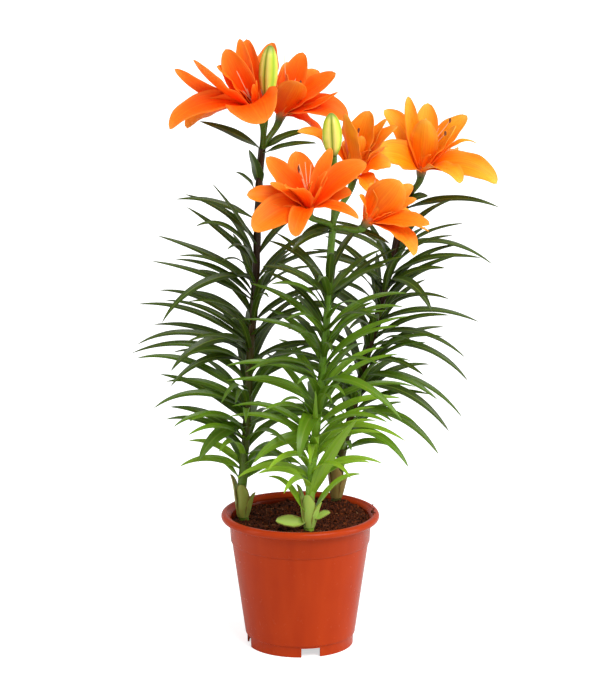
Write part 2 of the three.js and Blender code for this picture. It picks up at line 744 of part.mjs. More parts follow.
function direction(turn, rise) {
  const flat = Math.cos(rise * radians);
  return new THREE.Vector3(
    flat * Math.cos(turn * radians), flat * Math.sin(turn * radians), Math.sin(rise * radians),
  );
}

// All blades of the three stems, in the order they are placed: marked leaves first, then the rule.
function growLeaves() {
  const leaves = { left: [], middle: [], right: [] };
  for (const blossom of Object.values(blossoms)) {
    for (const petal of petalsOf(blossom)) {
      place('blossom', petal.samples(sampleSpacing));
    }
  }
  for (const bud of Object.values(buds)) {
    const line = new THREE.LineCurve3(vector(bud.base), vector(bud.tip));
    place('bud', curveSamples(line, () => bud.radius, samplesAlong.bud));
  }
  for (const name of Object.keys(stems)) {
    place(name, curveSamples(stemCurves[name], stemRadius, samplesAlong.stem));
  }
  for (const stalk of stalks) {
    place(stalk.stem, curveSamples(makeStalk(stalk), stalkRadiusAt, samplesAlong.stalk));
  }
  for (const [name, list] of Object.entries(markedLeaves)) {
    for (const [height, x, y, z, width, lift, droop, face] of list) {
      const root = stemCurves[name].getPoint(shareAtHeight(name, height));
      const leaf = makeLeaf(root, new THREE.Vector3(x, y, z), width, lift, droop, face);
      place(name, leaf.samples(sampleSpacing));
      leaves[name].push(leaf);
    }
  }
  for (const [name, stem] of Object.entries(stems)) {
    const random = makeRandom(stem.seed);
    const { low, high, count } = stem.leafZone;
    for (let i = 0; i < count; i += 1) {
      const share = i / (count - 1);
      const draws = [random(), random(), random(), random(), random()].map((value) => 2 * value - 1);
      const height = mix(low, high, share) + leafSpread.height * draws[0];
      const reach = mix(leafReach.low, leafReach.middle, ease(share / fullReachShare))
        - (leafReach.middle - leafReach.high) * share * share + leafSpread.reach * draws[1];
      const rise = mix(leafRise.low, leafRise.high, share) + leafSpread.rise * draws[2];
      const lift = mix(leafLift.low, leafLift.high, share) + leafSpread.lift * draws[3];
      const width = mix(leafWidth.low, leafWidth.high, share) + leafSpread.width * draws[4];
      const turn = stem.firstTurn + i * goldenAngle;
      const root = stemCurves[name].getPoint(shareAtHeight(name, height));
      for (const change of leafTries) {
        const way = direction(turn + change.turn, rise + change.rise);
        const tip = root.clone().addScaledVector(way, reach * change.reach);
        const leaf = makeLeaf(root, tip, width, lift, lift);
        const points = leaf.samples(sampleSpacing);
        if (clearOfPot(points) && isClear(name, points)) {
          place(name, points);
          leaves[name].push(leaf);
          break;
        }
      }
    }
  }
  return leaves;
}

// The scale leaves at the foot of a stem stand almost upright and wrap round it.
function footLeaves(name) {
  const [x, y] = stems[name].path[1];
  const ground = soilHeight(x, y);
  const list = name === 'middle' ? [...footScales, soilLeaf, curledScale] : footScales;
  return list.map(({ turn, rise, length, lean, width, face }) => {
    const root = stemCurves[name].getPoint(shareAtHeight(name, ground + rise));
    const tip = root.clone().addScaledVector(direction(turn, 90 - lean), length)
      .addScaledVector(direction(turn, 0), scaleForm.rootReach + scaleBend.flare);
    return makeLeaf(root, tip, width, scaleBend.lift, scaleBend.droop, face, scaleForm);
  });
}

function makeLeafyStem(name, leaves) {
  const parts = [tube(stemCurves[name], stemRadius, stemSides, stemSteps)];
  for (const stalk of stalks.filter(({ stem }) => stem === name)) {
    parts.push(tube(makeStalk(stalk), stalkRadiusAt, stalkSides, stalkSteps));
  }
  for (const leaf of [...leaves, ...footLeaves(name)]) {
    parts.push(leaf.geometry(leafStations, false));
  }
  return geometryOf(fuse(parts));
}

const finishes = {
  pot: { color: 0xb5471f, roughness: 0.38, metalness: 0 },
  soil: { color: 0x2c160c, roughness: 0.98, metalness: 0 },
  bulb: { color: 0xe8dcc0, roughness: 0.7, metalness: 0 },
  foliage: { color: 0x3f6a1c, roughness: 0.5, metalness: 0 },
  bud: { color: 0xb9c64a, roughness: 0.5, metalness: 0 },
};

const plant = new THREE.Group();
plant.position.x = potAxisX;

function addPiece(name, geometry, finish) {
  const mesh = new THREE.Mesh(geometry, new THREE.MeshStandardMaterial(finish));
  mesh.name = name;
  plant.add(mesh);
}

addPiece('pot', makePot(), finishes.pot);
addPiece('soil', makeSoil(), finishes.soil);
const leaves = growLeaves();
for (const name of Object.keys(stems)) {
  addPiece(`bulb_${name}`, bulbGeometry(bulbBase(name), 0), finishes.bulb);
  addPiece(`leafy_stem_${name}`, makeLeafyStem(name, leaves[name]), finishes.foliage);
}
for (const [name, blossom] of Object.entries(blossoms)) {
  addPiece(name, makeBlossom(blossom), { color: blossom.colour, roughness: 0.55, metalness: 0 });
}
for (const [name, bud] of Object.entries(buds)) {
  addPiece(name, makeBud(bud), finishes.bud);
}

const pottedLily = new THREE.Group();
pottedLily.add(plant);

export default pottedLily;
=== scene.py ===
# Potted double orange lily in a round plastic nursery pot, put together from the pot upwards.
# Metres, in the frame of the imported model: +Z up, the pot on Z = 0, the plant seen from -Y.
import math

import bpy
import numpy as np
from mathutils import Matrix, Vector, noise


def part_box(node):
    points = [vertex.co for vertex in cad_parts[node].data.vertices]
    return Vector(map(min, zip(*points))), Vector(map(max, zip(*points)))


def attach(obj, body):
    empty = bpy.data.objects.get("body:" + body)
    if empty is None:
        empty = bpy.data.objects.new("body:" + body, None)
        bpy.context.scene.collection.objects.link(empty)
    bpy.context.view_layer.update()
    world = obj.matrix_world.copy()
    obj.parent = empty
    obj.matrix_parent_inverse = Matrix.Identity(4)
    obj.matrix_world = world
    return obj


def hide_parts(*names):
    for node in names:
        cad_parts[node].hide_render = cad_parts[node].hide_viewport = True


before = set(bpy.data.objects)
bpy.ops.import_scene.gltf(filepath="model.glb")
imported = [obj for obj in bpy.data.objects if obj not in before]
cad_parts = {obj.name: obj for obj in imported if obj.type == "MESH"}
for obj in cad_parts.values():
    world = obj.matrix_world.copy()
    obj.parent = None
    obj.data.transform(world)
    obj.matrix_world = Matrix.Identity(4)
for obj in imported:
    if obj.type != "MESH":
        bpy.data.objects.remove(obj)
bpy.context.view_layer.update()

# Pot: one thin-walled nursery pot, injection moulded in terracotta-coloured polypropylene.
# Its mouth has a rounded bead, a step below it stiffens the wall, and the raised base stands
# on a foot ring with four notches that let the water run out.
mm = 0.001
pot_low, pot_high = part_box("pot")
pot_axis = Vector(((pot_low.x + pot_high.x) / 2, (pot_low.y + pot_high.y) / 2, 0))
pot_height = pot_high.z
rim_radius = pot_high.x - pot_axis.x
mouth_radius = rim_radius - 6.2 * mm
wall = 1.8 * mm
foot_radius = 57 * mm
foot_height = 13 * mm
step_height = 114 * mm
step_radius = 73.2 * mm
collar_radius = 75 * mm
under_rim_radius = 76 * mm
under_rim_height = 135.6 * mm
base_underside = 11.5 * mm
base_top = 13.5 * mm
bead_radius = 4.2 * mm
pot_sides = 160


def mix(a, b, share):
    return a + (b - a) * share


def inner_radius(z):
    """The radius of the pot's inner wall at a height."""
    collar_foot = step_height + 2 * mm
    if z > collar_foot:
        share = (z - collar_foot) / (under_rim_height - step_height)
        return mix(collar_radius, under_rim_radius, share) - wall
    share = (z - foot_height) / (step_height - foot_height)
    return mix(foot_radius + 2 * mm, step_radius, share) - wall


def turn_about_pot_axis(name, outline, sides):
    """Draws an outline of radius and height as a row of vertices, and spins it about the pot's axis."""
    bpy.ops.object.select_all(action="DESELECT")
    start = pot_axis + Vector((outline[0][0], 0, outline[0][1]))
    bpy.ops.mesh.primitive_plane_add(size=mm, location=start)
    piece = bpy.context.object
    piece.name = name
    bpy.ops.object.mode_set(mode="EDIT")
    bpy.ops.mesh.merge(type="CENTER")
    for (radius, z), (next_radius, next_z) in zip(outline, outline[1:]):
        move = (next_radius - radius, 0, next_z - z)
        bpy.ops.mesh.extrude_region_move(TRANSFORM_OT_translate={"value": move})
    bpy.ops.mesh.select_all(action="SELECT")
    bpy.ops.mesh.spin(steps=sides, angle=2 * math.pi, center=pot_axis, axis=(0, 0, 1))
    bpy.ops.mesh.select_all(action="SELECT")
    bpy.ops.mesh.remove_doubles(threshold=0.002 * mm)
    bpy.ops.mesh.normals_make_consistent(inside=False)
    bpy.ops.object.mode_set(mode="OBJECT")
    bpy.ops.object.transform_apply(location=True, rotation=True, scale=True)
    return piece


def cut_away(piece, cutter):
    """Cuts a helper solid out of a piece, and removes the helper."""
    cut = piece.modifiers.new("cut", "BOOLEAN")
    cut.object = cutter
    cut.solver = "EXACT"
    bpy.context.view_layer.objects.active = piece
    bpy.ops.object.modifier_apply(modifier=cut.name)
    bpy.data.objects.remove(cutter)


def smooth(piece, sharpest):
    """Shades a piece smooth, with sharp edges where faces meet at more than an angle in degrees."""
    bpy.ops.object.select_all(action="DESELECT")
    piece.select_set(True)
    bpy.context.view_layer.objects.active = piece
    bpy.ops.object.shade_smooth_by_angle(angle=math.radians(sharpest))


bead = [
    (rim_radius - bead_radius * (1 - math.cos(angle)), pot_height - bead_radius * (1 - math.sin(angle)))
    for angle in np.linspace(-math.pi / 2, math.pi / 2, 17)
]
moulding_rings = []
for ring_height in (140 * mm, 132 * mm, 127 * mm, 122 * mm):
    for rise, depth in ((1, 0), (0.3, 0.3), (-0.3, 0.3), (-1, 0)):
        z = ring_height + rise * mm
        moulding_rings.append((inner_radius(z) + depth * mm, z))
pot_outline = [
    (0, base_underside), (foot_radius - 3.4 * mm, base_underside),
    (foot_radius - 2.2 * mm, base_underside - 1.2 * mm), (foot_radius - 2 * mm, 0.5 * mm),
    (foot_radius - 1.6 * mm, 0), (foot_radius - 0.5 * mm, 0), (foot_radius, 0.5 * mm),
    (foot_radius + 0.3 * mm, foot_height - 1.6 * mm), (foot_radius + 0.6 * mm, foot_height - 1 * mm),
    (foot_radius + 1.9 * mm, foot_height - 0.3 * mm), (foot_radius + 2.2 * mm, foot_height + 0.5 * mm),
    (foot_radius + 2.4 * mm, foot_height + 2 * mm),
    (step_radius + 0.3 * mm, step_height), (step_radius + 0.7 * mm, step_height + 0.2 * mm),
    (collar_radius - 0.6 * mm, step_height + 0.8 * mm), (collar_radius - 0.2 * mm, step_height + 1.4 * mm),
    (under_rim_radius, under_rim_height), (under_rim_radius + 0.5 * mm, under_rim_height + 0.8 * mm),
    (rim_radius - bead_radius - 0.8 * mm, pot_height - 2 * bead_radius - 0.2 * mm),
    *bead,
    (mouth_radius + 0.8 * mm, pot_height), (mouth_radius + 0.2 * mm, pot_height - 0.3 * mm),
    (mouth_radius, pot_height - 0.9 * mm),
    (inner_radius(pot_height - 4 * mm) + 2 * mm, pot_height - 2.6 * mm),
    *moulding_rings,
    (inner_radius(step_height + 2.5 * mm), step_height + 2.5 * mm),
    (inner_radius(step_height - 0.5 * mm), step_height - 0.5 * mm),
    (inner_radius(base_top + 3 * mm), base_top + 3 * mm), (inner_radius(base_top) - 1.5 * mm, base_top),
    (0, base_top),
]
pot = turn_about_pot_axis("pot_shell", pot_outline, pot_sides)

notch_count = 4
notch_size = Vector((8, 20.4, 20)) * mm
front_notch_angle = -78.4
drain_hole_radius = 4.5 * mm
drain_hole_distance = 40 * mm
drain_hole_depth = 8 * mm
drain_hole_sides = 32
for n in range(notch_count):
    angle = math.radians(front_notch_angle + n * 360 / notch_count)
    outwards = Vector((math.cos(angle), math.sin(angle), 0))
    bpy.ops.mesh.primitive_cube_add(
        size=1, scale=notch_size, rotation=(0, 0, angle), location=pot_axis + outwards * foot_radius)
    cut_away(pot, bpy.context.object)
    bpy.ops.mesh.primitive_cylinder_add(
        vertices=drain_hole_sides, radius=drain_hole_radius, depth=drain_hole_depth,
        location=pot_axis + outwards * drain_hole_distance + Vector((0, 0, base_top)))
    cut_away(pot, bpy.context.object)
smooth(pot, 32)
# Painted shade: the inner wall is darkened towards brown from the rim down to the soil, as
# shade inside the pot; its share at each place goes with the mesh.
painted_shade_depth = 9 * mm
inner_shade_attribute = pot.data.attributes.new("tone", "FLOAT", "POINT")
for vertex, share in zip(pot.data.vertices, inner_shade_attribute.data):
    radius = math.hypot(vertex.co.x - pot_axis.x, vertex.co.y - pot_axis.y)
    inside = vertex.co.z > base_top and radius < inner_radius(vertex.co.z) + wall / 2
    share.value = min(1, max(0, (pot_height - vertex.co.z) / painted_shade_depth)) if inside else 0


def linear(hex_colour):
    """A colour written as sRGB hex, in the linear values that shaders take."""
    shares = [int(hex_colour[i:i + 2], 16) / 255 for i in (1, 3, 5)]
    return [s / 12.92 if s <= 0.04045 else ((s + 0.055) / 1.055) ** 2.4 for s in shares] + [1.0]


def new_material(name, sockets):
    """A material with the shader's plain values set on its own sockets."""
    material = bpy.data.materials.new(name)
    material.use_nodes = True
    shader = material.node_tree.nodes["Principled BSDF"]
    for socket, value in sockets.items():
        shader.inputs[socket].default_value = value
    return material


def main_output(source):
    """The output that a node is used for: a share, a colour or a place. Anything else stays as it is."""
    if isinstance(source, bpy.types.ShaderNodeMix):
        return source.outputs[2]
    if isinstance(source, bpy.types.Node):
        return source.outputs.get("Fac") or source.outputs[0]
    return source


def add_node(material, kind, links=None, stops=(), **settings):
    """Adds a node. Each link is a plain value, a node or an output, and stops are a ramp's colours."""
    tree = material.node_tree
    node = tree.nodes.new("ShaderNode" + kind)
    for name, value in settings.items():
        setattr(node, name, value)
    for name, value in (links or {}).items():
        value = main_output(value)
        if isinstance(value, bpy.types.NodeSocket):
            tree.links.new(value, node.inputs[name])
        else:
            node.inputs[name].default_value = value
    for i, (place, colour) in enumerate(stops):
        if i > 1:
            node.color_ramp.elements.new(place)
        node.color_ramp.elements[i].position = place
        node.color_ramp.elements[i].color = linear(colour)
    return node


def dress(material, **outputs):
    """Links outputs to the shader's sockets; an underline stands for a space in a socket's name."""
    shader = material.node_tree.nodes["Principled BSDF"]
    for socket, output in outputs.items():
        material.node_tree.links.new(main_output(output), shader.inputs[socket.replace("_", " ")])


# Moulded polypropylene: satin and slightly waxy, with faint upright flow lines from the mould
# and a skin like very fine orange peel. The inner wall is darkened to a dull brown below the rim as painted
# shade.
plastic = new_material("Terracotta polypropylene", {"IOR": 1.49, "Specular IOR Level": 0.12})
places = add_node(plastic, "TexCoord").outputs["Object"]
flow_places = add_node(plastic, "Mapping", {"Vector": places, "Scale": (1, 1, 0.06)})
flow = add_node(plastic, "TexNoise", {"Vector": flow_places, "Scale": 1 / (14 * mm), "Detail": 3.0})
flow_colour = add_node(plastic, "ValToRGB", {"Fac": flow}, stops=[(0.3, "#A8340A"), (0.7, "#B13A0D")])
cloud = add_node(plastic, "TexNoise", {"Vector": places, "Scale": 1 / (45 * mm), "Detail": 2.0})
cloud_colour = add_node(plastic, "ValToRGB", {"Fac": cloud}, stops=[(0.3, "#F8F0EC"), (0.7, "#FFFFFF")])
pot_colour = add_node(
    plastic, "Mix", {0: 1.0, 6: flow_colour, 7: cloud_colour}, data_type="RGBA", blend_type="MULTIPLY")
scuffs = add_node(plastic, "TexNoise", {"Vector": places, "Scale": 1 / (6 * mm), "Detail": 6.0})
pot_roughness = add_node(
    plastic, "MapRange",
    {"Value": scuffs, "From Min": 0.3, "From Max": 0.7, "To Min": 0.2, "To Max": 0.28})
# Painted shade: the inner wall's share darkens the plastic towards a dull brown below the rim.
inner_shade_value = add_node(plastic, "Attribute", attribute_name="tone")
inner_shade_share = add_node(plastic, "Math", {0: inner_shade_value, 1: 0.78}, operation="MULTIPLY")
with_inner_shade = add_node(
    plastic, "Mix", {0: inner_shade_share, 6: pot_colour, 7: linear("#3A1006")}, data_type="RGBA")
peel = add_node(plastic, "TexNoise", {"Vector": places, "Scale": 1 / (1.6 * mm), "Detail": 2.0})
peel_bump = add_node(plastic, "Bump", {"Height": peel, "Strength": 0.07, "Distance": 0.05 * mm})
dress(plastic, Base_Color=with_inner_shade, Roughness=pot_roughness, Normal=peel_bump)


def finish_piece(piece, materials, node):
    """Gives a finished piece its materials, hangs it from the root body, and hides the solid it stands for.
    """
    piece.data.materials.clear()
    for material in materials:
        piece.data.materials.append(material)
    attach(piece, "root")
    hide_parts(node)


finish_piece(pot, [plastic], "pot")

# Bulbs: three lily bulbs lie low in the soil, one under each stem. They are cones of fleshy
# cream scales that have never seen light, and nothing of them shows above the soil.
scales = new_material(
    "Fleshy lily bulb scale", {"Roughness": 0.55, "Subsurface Weight": 0.2, "Subsurface Scale": 2 * mm})
places = add_node(scales, "TexCoord").outputs["Object"]
scale_lines = add_node(scales, "TexNoise", {"Vector": places, "Scale": 1 / (5 * mm), "Detail": 4.0})
scale_colour = add_node(
    scales, "ValToRGB", {"Fac": scale_lines},
    stops=[(0.3, "#B79A62"), (0.5, "#E2D3A6"), (0.7, "#F1E8CC")])
scale_bump = add_node(scales, "Bump", {"Height": scale_lines, "Strength": 0.6, "Distance": 0.6 * mm})
dress(scales, Base_Color=scale_colour, Normal=scale_bump)
for name in ("bulb_left", "bulb_middle", "bulb_right"):
    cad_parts[name].data.materials.clear()
    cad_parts[name].data.materials.append(scales)

# Soil: moist peat and coir, filled to about 10 mm under the rim and heaped a little behind the
# right-hand stem. Its surface is crumbly, with loose reddish fibres of coir lying on it.
soil_level = 136 * mm
soil_rise = (0.03, 0.02)
soil_heap = {"x": 42 * mm, "y": 54 * mm, "height": 4.5 * mm, "spread": 30 * mm}
soil_lumps = 1.1 * mm
soil_gap = 0.25 * mm
soil_rings = 56
crumb_size = 2.4 * mm
crumb_relief = 1.5 * mm


def soil_height(x, y):
    """The soil's surface at a place counted from the pot's axis."""
    heap_x = (x - soil_heap["x"]) / soil_heap["spread"]
    heap_y = (y - soil_heap["y"]) / soil_heap["spread"]
    heap = soil_heap["height"] * np.exp(-heap_x ** 2 - heap_y ** 2)
    wide = np.sin(0.19 * x / mm + 1.3) * np.cos(0.16 * y / mm - 0.4)
    narrow = 0.6 * np.sin((0.31 * x - 0.27 * y) / mm)
    return soil_level + soil_rise[0] * x + soil_rise[1] * y + heap + soil_lumps * (wide + narrow)


soil_floor = base_top + 0.4 * mm
soil_radius = inner_radius(soil_level) - soil_gap
soil_outline = [
    (0, soil_floor), (inner_radius(soil_floor) - wall, soil_floor),
    (inner_radius(step_height - 0.5 * mm) - soil_gap, step_height - 0.5 * mm),
    (inner_radius(step_height + 2.6 * mm) - soil_gap, step_height + 2.6 * mm),
    *[(soil_radius * share, soil_level) for share in np.linspace(1, 0, soil_rings)],
]
soil = turn_about_pot_axis("soil_surface", soil_outline, pot_sides)
for vertex in soil.data.vertices:
    x, y = vertex.co.x - pot_axis.x, vertex.co.y - pot_axis.y
    if vertex.co.z > soil_level - 0.1 * mm:
        place = Vector((x, y, 0)) / crumb_size
        crumbs = noise.fractal(place, 0.7, 2.1, 4) + 0.5 * abs(noise.noise(place * 0.4))
        edge = min(1, (soil_radius - math.hypot(x, y)) / (6 * mm))
        vertex.co.z = soil_height(x, y) + crumb_relief * crumbs * (0.4 + 0.6 * edge)
smooth(soil, 60)

# Peat and coir: dark, damp and matt, and redder where strands of coir lie in it.
compost = new_material("Moist peat and coir", {"Roughness": 0.92, "Specular IOR Level": 0.12})
places = add_node(compost, "TexCoord").outputs["Object"]
strand_places = add_node(
    compost, "Mapping", {"Vector": places, "Rotation": (0, 0, 0.7), "Scale": (1, 0.22, 1)})
strands = add_node(
    compost, "TexNoise",
    {"Vector": strand_places, "Scale": 1 / (1.7 * mm), "Detail": 5.0, "Roughness": 0.62})
grains = add_node(
    compost, "TexNoise", {"Vector": places, "Scale": 1 / (3.2 * mm), "Detail": 6.0, "Roughness": 0.7})
both = add_node(compost, "Math", {0: strands, 1: grains}, operation="MULTIPLY")
soil_colour = add_node(
    compost, "ValToRGB", {"Fac": both},
    stops=[(0.14, "#120602"), (0.23, "#371608"), (0.31, "#5E2A10"), (0.41, "#93491E")])
soil_bump = add_node(compost, "Bump", {"Height": both, "Strength": 1.0, "Distance": 1.6 * mm})
dress(compost, Base_Color=soil_colour, Normal=soil_bump)
finish_piece(soil, [compost], "soil")


def make_random(seed):
    """Even random numbers from 0 to 1, the same on every run."""
    state = seed

    def draw():
        nonlocal state
        state = (state * 1664525 + 1013904223) % 4294967296
        return state / 4294967296
    return draw


blanks = []


def grid_blank(columns, rows):
    """A flat grid one unit across and long, which blades and tubes are shaped from."""
    bpy.ops.object.select_all(action="DESELECT")
    bpy.ops.mesh.primitive_grid_add(
        x_subdivisions=columns, y_subdivisions=rows, size=1, location=(0.5, 0.5, 0))
    bpy.ops.object.transform_apply(location=True, rotation=False, scale=False)
    blanks.append(bpy.context.object)
    return bpy.context.object


def copy_of(blank):
    """A copy of a blank with a mesh of its own."""
    piece = blank.copy()
    piece.data = blank.data.copy()
    bpy.context.collection.objects.link(piece)
    return piece


def shaped(blank, place_at, tone=0.0):
    """A copy of a blank whose vertices go where place_at says for their shares across and along."""
    piece = copy_of(blank)
    count = len(piece.data.vertices)
    shares = np.zeros(count * 3)
    piece.data.vertices.foreach_get("co", shares)
    shares = np.clip(shares.reshape(-1, 3), 0, 1)
    points = place_at(shares[:, 0], shares[:, 1]) + np.array(pot_axis)
    piece.data.vertices.foreach_set("co", points.ravel())
    attribute = piece.data.attributes.new("tone", "FLOAT", "POINT")
    attribute.data.foreach_set("value", np.full(count, tone, np.float32))
    return piece


def joined(name, pieces, sharpest, thickness=0.0):
    """Joins shaped copies, closes their seams, thickens thin sheets and shades them smooth."""
    bpy.ops.object.select_all(action="DESELECT")
    for piece in pieces:
        piece.select_set(True)
    bpy.context.view_layer.objects.active = pieces[0]
    bpy.ops.object.join()
    whole = bpy.context.object
    whole.name = name
    bpy.ops.object.mode_set(mode="EDIT")
    bpy.ops.mesh.select_all(action="SELECT")
    bpy.ops.mesh.remove_doubles(threshold=0.001 * mm)
    bpy.ops.object.mode_set(mode="OBJECT")
    if thickness:
        sheet = whole.modifiers.new("thickness", "SOLIDIFY")
        sheet.thickness = thickness
        sheet.offset = -1
        sheet.material_offset = 1
        bpy.ops.object.modifier_apply(modifier=sheet.name)
    smooth(whole, sharpest)
    return whole


def unit(vectors):
    return vectors / np.linalg.norm(vectors, axis=-1, keepdims=True)


def tube(centre_at, radius_at, rows, turn=0.0):
    """The place function of a round body along a line, with both of its ends closed."""
    def place_at(u, v):
        share = np.clip((v * rows - 1) / (rows - 2), 0, 1)
        closed = (v < 0.5 / rows) | (v > 1 - 0.5 / rows)
        step = 0.002
        way = unit(centre_at(np.clip(share + step, 0, 1)) - centre_at(np.clip(share - step, 0, 1)))
        across = unit(np.cross(np.array([0.0, 1.0, 0.0]), way))
        along = np.cross(way, across)
        angle = 2 * np.pi * u
        radius = np.where(closed, 0, radius_at(share, angle))
        circle = across * np.cos(angle + turn)[:, None] + along * np.sin(angle + turn)[:, None]
        return centre_at(share) + circle * radius[:, None]
    return place_at


def bezier(points):
    """The points of a cubic curve for any shares of the way along it."""
    corners = np.array(points, float)

    def at(share):
        share = np.asarray(share)[:, None]
        rest = 1 - share
        return (corners[0] * rest ** 3 + 3 * corners[1] * rest ** 2 * share
                + 3 * corners[2] * rest * share ** 2 + corners[3] * share ** 3)
    return at


def straight(start, end):
    """The points of a straight line for any shares of the way along it."""
    return bezier([start, mix(start, end, 1 / 3), mix(start, end, 2 / 3), end])


# Coir fibres: tough reddish strands from coconut husk, 0.4 to 0.8 mm thick, that have worked
# loose and lie on the soil in all directions.
fibre_count = 420
fibre_rows = 8
fibre_blank = grid_blank(5, fibre_rows)
random = make_random(5)
fibres = []
for _ in range(fibre_count):
    distance = (soil_radius - 3 * mm) * math.sqrt(random())
    place_turn = 2 * math.pi * random()
    way_turn = 2 * math.pi * random()
    length = mix(6, 24, random() ** 2) * mm
    sag = mix(-0.35, 0.35, random())
    middle = np.array([math.cos(place_turn), math.sin(place_turn)]) * distance
    way = np.array([math.cos(way_turn), math.sin(way_turn)])
    left = np.array([-way[1], way[0]])
    corners = []
    for along, aside, lift in ((-0.5, 0, -0.8), (-0.17, sag, 1.2), (0.17, -sag, 1.4), (0.5, sag / 2, -0.8)):
        flat = middle + (way * along + left * aside) * length
        flat = flat * min(1, (soil_radius - 2 * mm) / np.linalg.norm(flat))
        corners.append((*flat, soil_height(*flat) + lift * mm))
    thickness = mix(0.18, 0.38, random()) * mm
    line = tube(bezier(corners), lambda s, a, r=thickness: r * (1 - 0.6 * s), fibre_rows)
    fibres.append(shaped(fibre_blank, line, tone=random()))
coir = joined("coir_fibres", fibres, 80)
husk = new_material("Coconut husk fibre", {"Roughness": 0.8, "Specular IOR Level": 0.3})
strand_tone = add_node(husk, "Attribute", attribute_name="tone")
husk_colour = add_node(
    husk, "ValToRGB", {"Fac": strand_tone},
    stops=[(0.0, "#2A0F07"), (0.5, "#5A2410"), (0.85, "#7E3B1A"), (1.0, "#B98A5A")])
dress(husk, Base_Color=husk_colour)
finish_piece(coir, [husk], "soil")

# Crumbs: clods of peat up to 4 mm across that stand out of the surface, and a few that were
# left on the rim when the pot was filled.
crumb_count = 620
rim_crumbs = ((77.5, -2, 146.4, 2.0), (80, -6, 146.2, 0.9), (79.2, 9, 146.2, 1.1), (78.6, 26, 146.3, 0.8))
bpy.ops.object.select_all(action="DESELECT")
bpy.ops.mesh.primitive_ico_sphere_add(subdivisions=1, radius=1, location=(0, 0, 0))
crumb_blank = bpy.context.object
blanks.append(crumb_blank)
random = make_random(9)
crumb_places = [(Vector((x, y, z)) * mm, size * mm) for x, y, z, size in rim_crumbs]
for _ in range(crumb_count):
    distance = (soil_radius - 2.5 * mm) * math.sqrt(random())
    turn = 2 * math.pi * random()
    x, y = distance * math.cos(turn), distance * math.sin(turn)
    size = mix(0.6, 2.1, random() ** 3) * mm
    crumb_places.append((Vector((x, y, soil_height(x, y) + 0.4 * size + 0.3 * mm)), size))
clods = []
for number, (place, size) in enumerate(crumb_places):
    clod = copy_of(crumb_blank)
    for vertex in clod.data.vertices:
        rough = 1 + 0.5 * noise.noise(vertex.co * 1.7 + Vector((number, 0, 0)))
        vertex.co = pot_axis + place + vertex.co * size * rough
    clods.append(clod)
loose = joined("peat_crumbs", clods, 40)
finish_piece(loose, [compost], "soil")

# Stems: three upright flowering stems, each one living shoot with its leaves and its flower
# stalks. The stems are waxy and round, fresh green at the foot and, on the left and on the
# right, dark purplish brown above.
stem_foot_radius = 5.8 * mm
stem_top_radius = 3.9 * mm
stem_taper = 1.4
stalk_radius = 3 * mm
stalk_end_radius = 4.2 * mm
joint_gap = 0.35 * mm
stalk_lead = 6
stalk_bend = (0.4, 0.35)
stem_rows = 120
stalk_rows = 24
# Points of each stem's centreline from the bulb up, in millimetres from the pot's axis, then how
# dark its foot and its top are.
stems = {
    "left": {
        "path": [
            (-37, 5, 65.6), (-61, 8, 136), (-61, 3, 192), (-57.5, 0, 236), (-53, 0, 324),
            (-48, 0, 378), (-45.5, 0, 443), (-43, 0, 507), (-40, 0, 541),
        ],
        "leaf_zone": (182, 452, 24), "seed": 11, "first_turn": 20, "tones": (0.45, 0.95),
    },
    "middle": {
        "path": [
            (4, -32, 65.6), (9.3, -36, 137), (11.4, -40, 192), (16.6, -41, 247), (22, -41, 301),
            (26, -41, 344), (29, -40, 387), (31, -40, 430), (34, -40, 466),
        ],
        "leaf_zone": (176, 412, 27), "seed": 23, "first_turn": 75, "tones": (0.0, 0.35),
    },
    "right": {
        "path": [
            (22, 30, 65.6), (39, 56, 143), (44, 51, 191), (51.6, 47, 225), (64.4, 45, 280),
            (76, 45, 324), (97, 45, 407), (111.5, 45, 472), (120, 45, 492),
        ],
        "leaf_zone": (192, 420, 26), "seed": 37, "first_turn": 140, "tones": (0.7, 1.0),
    },
}
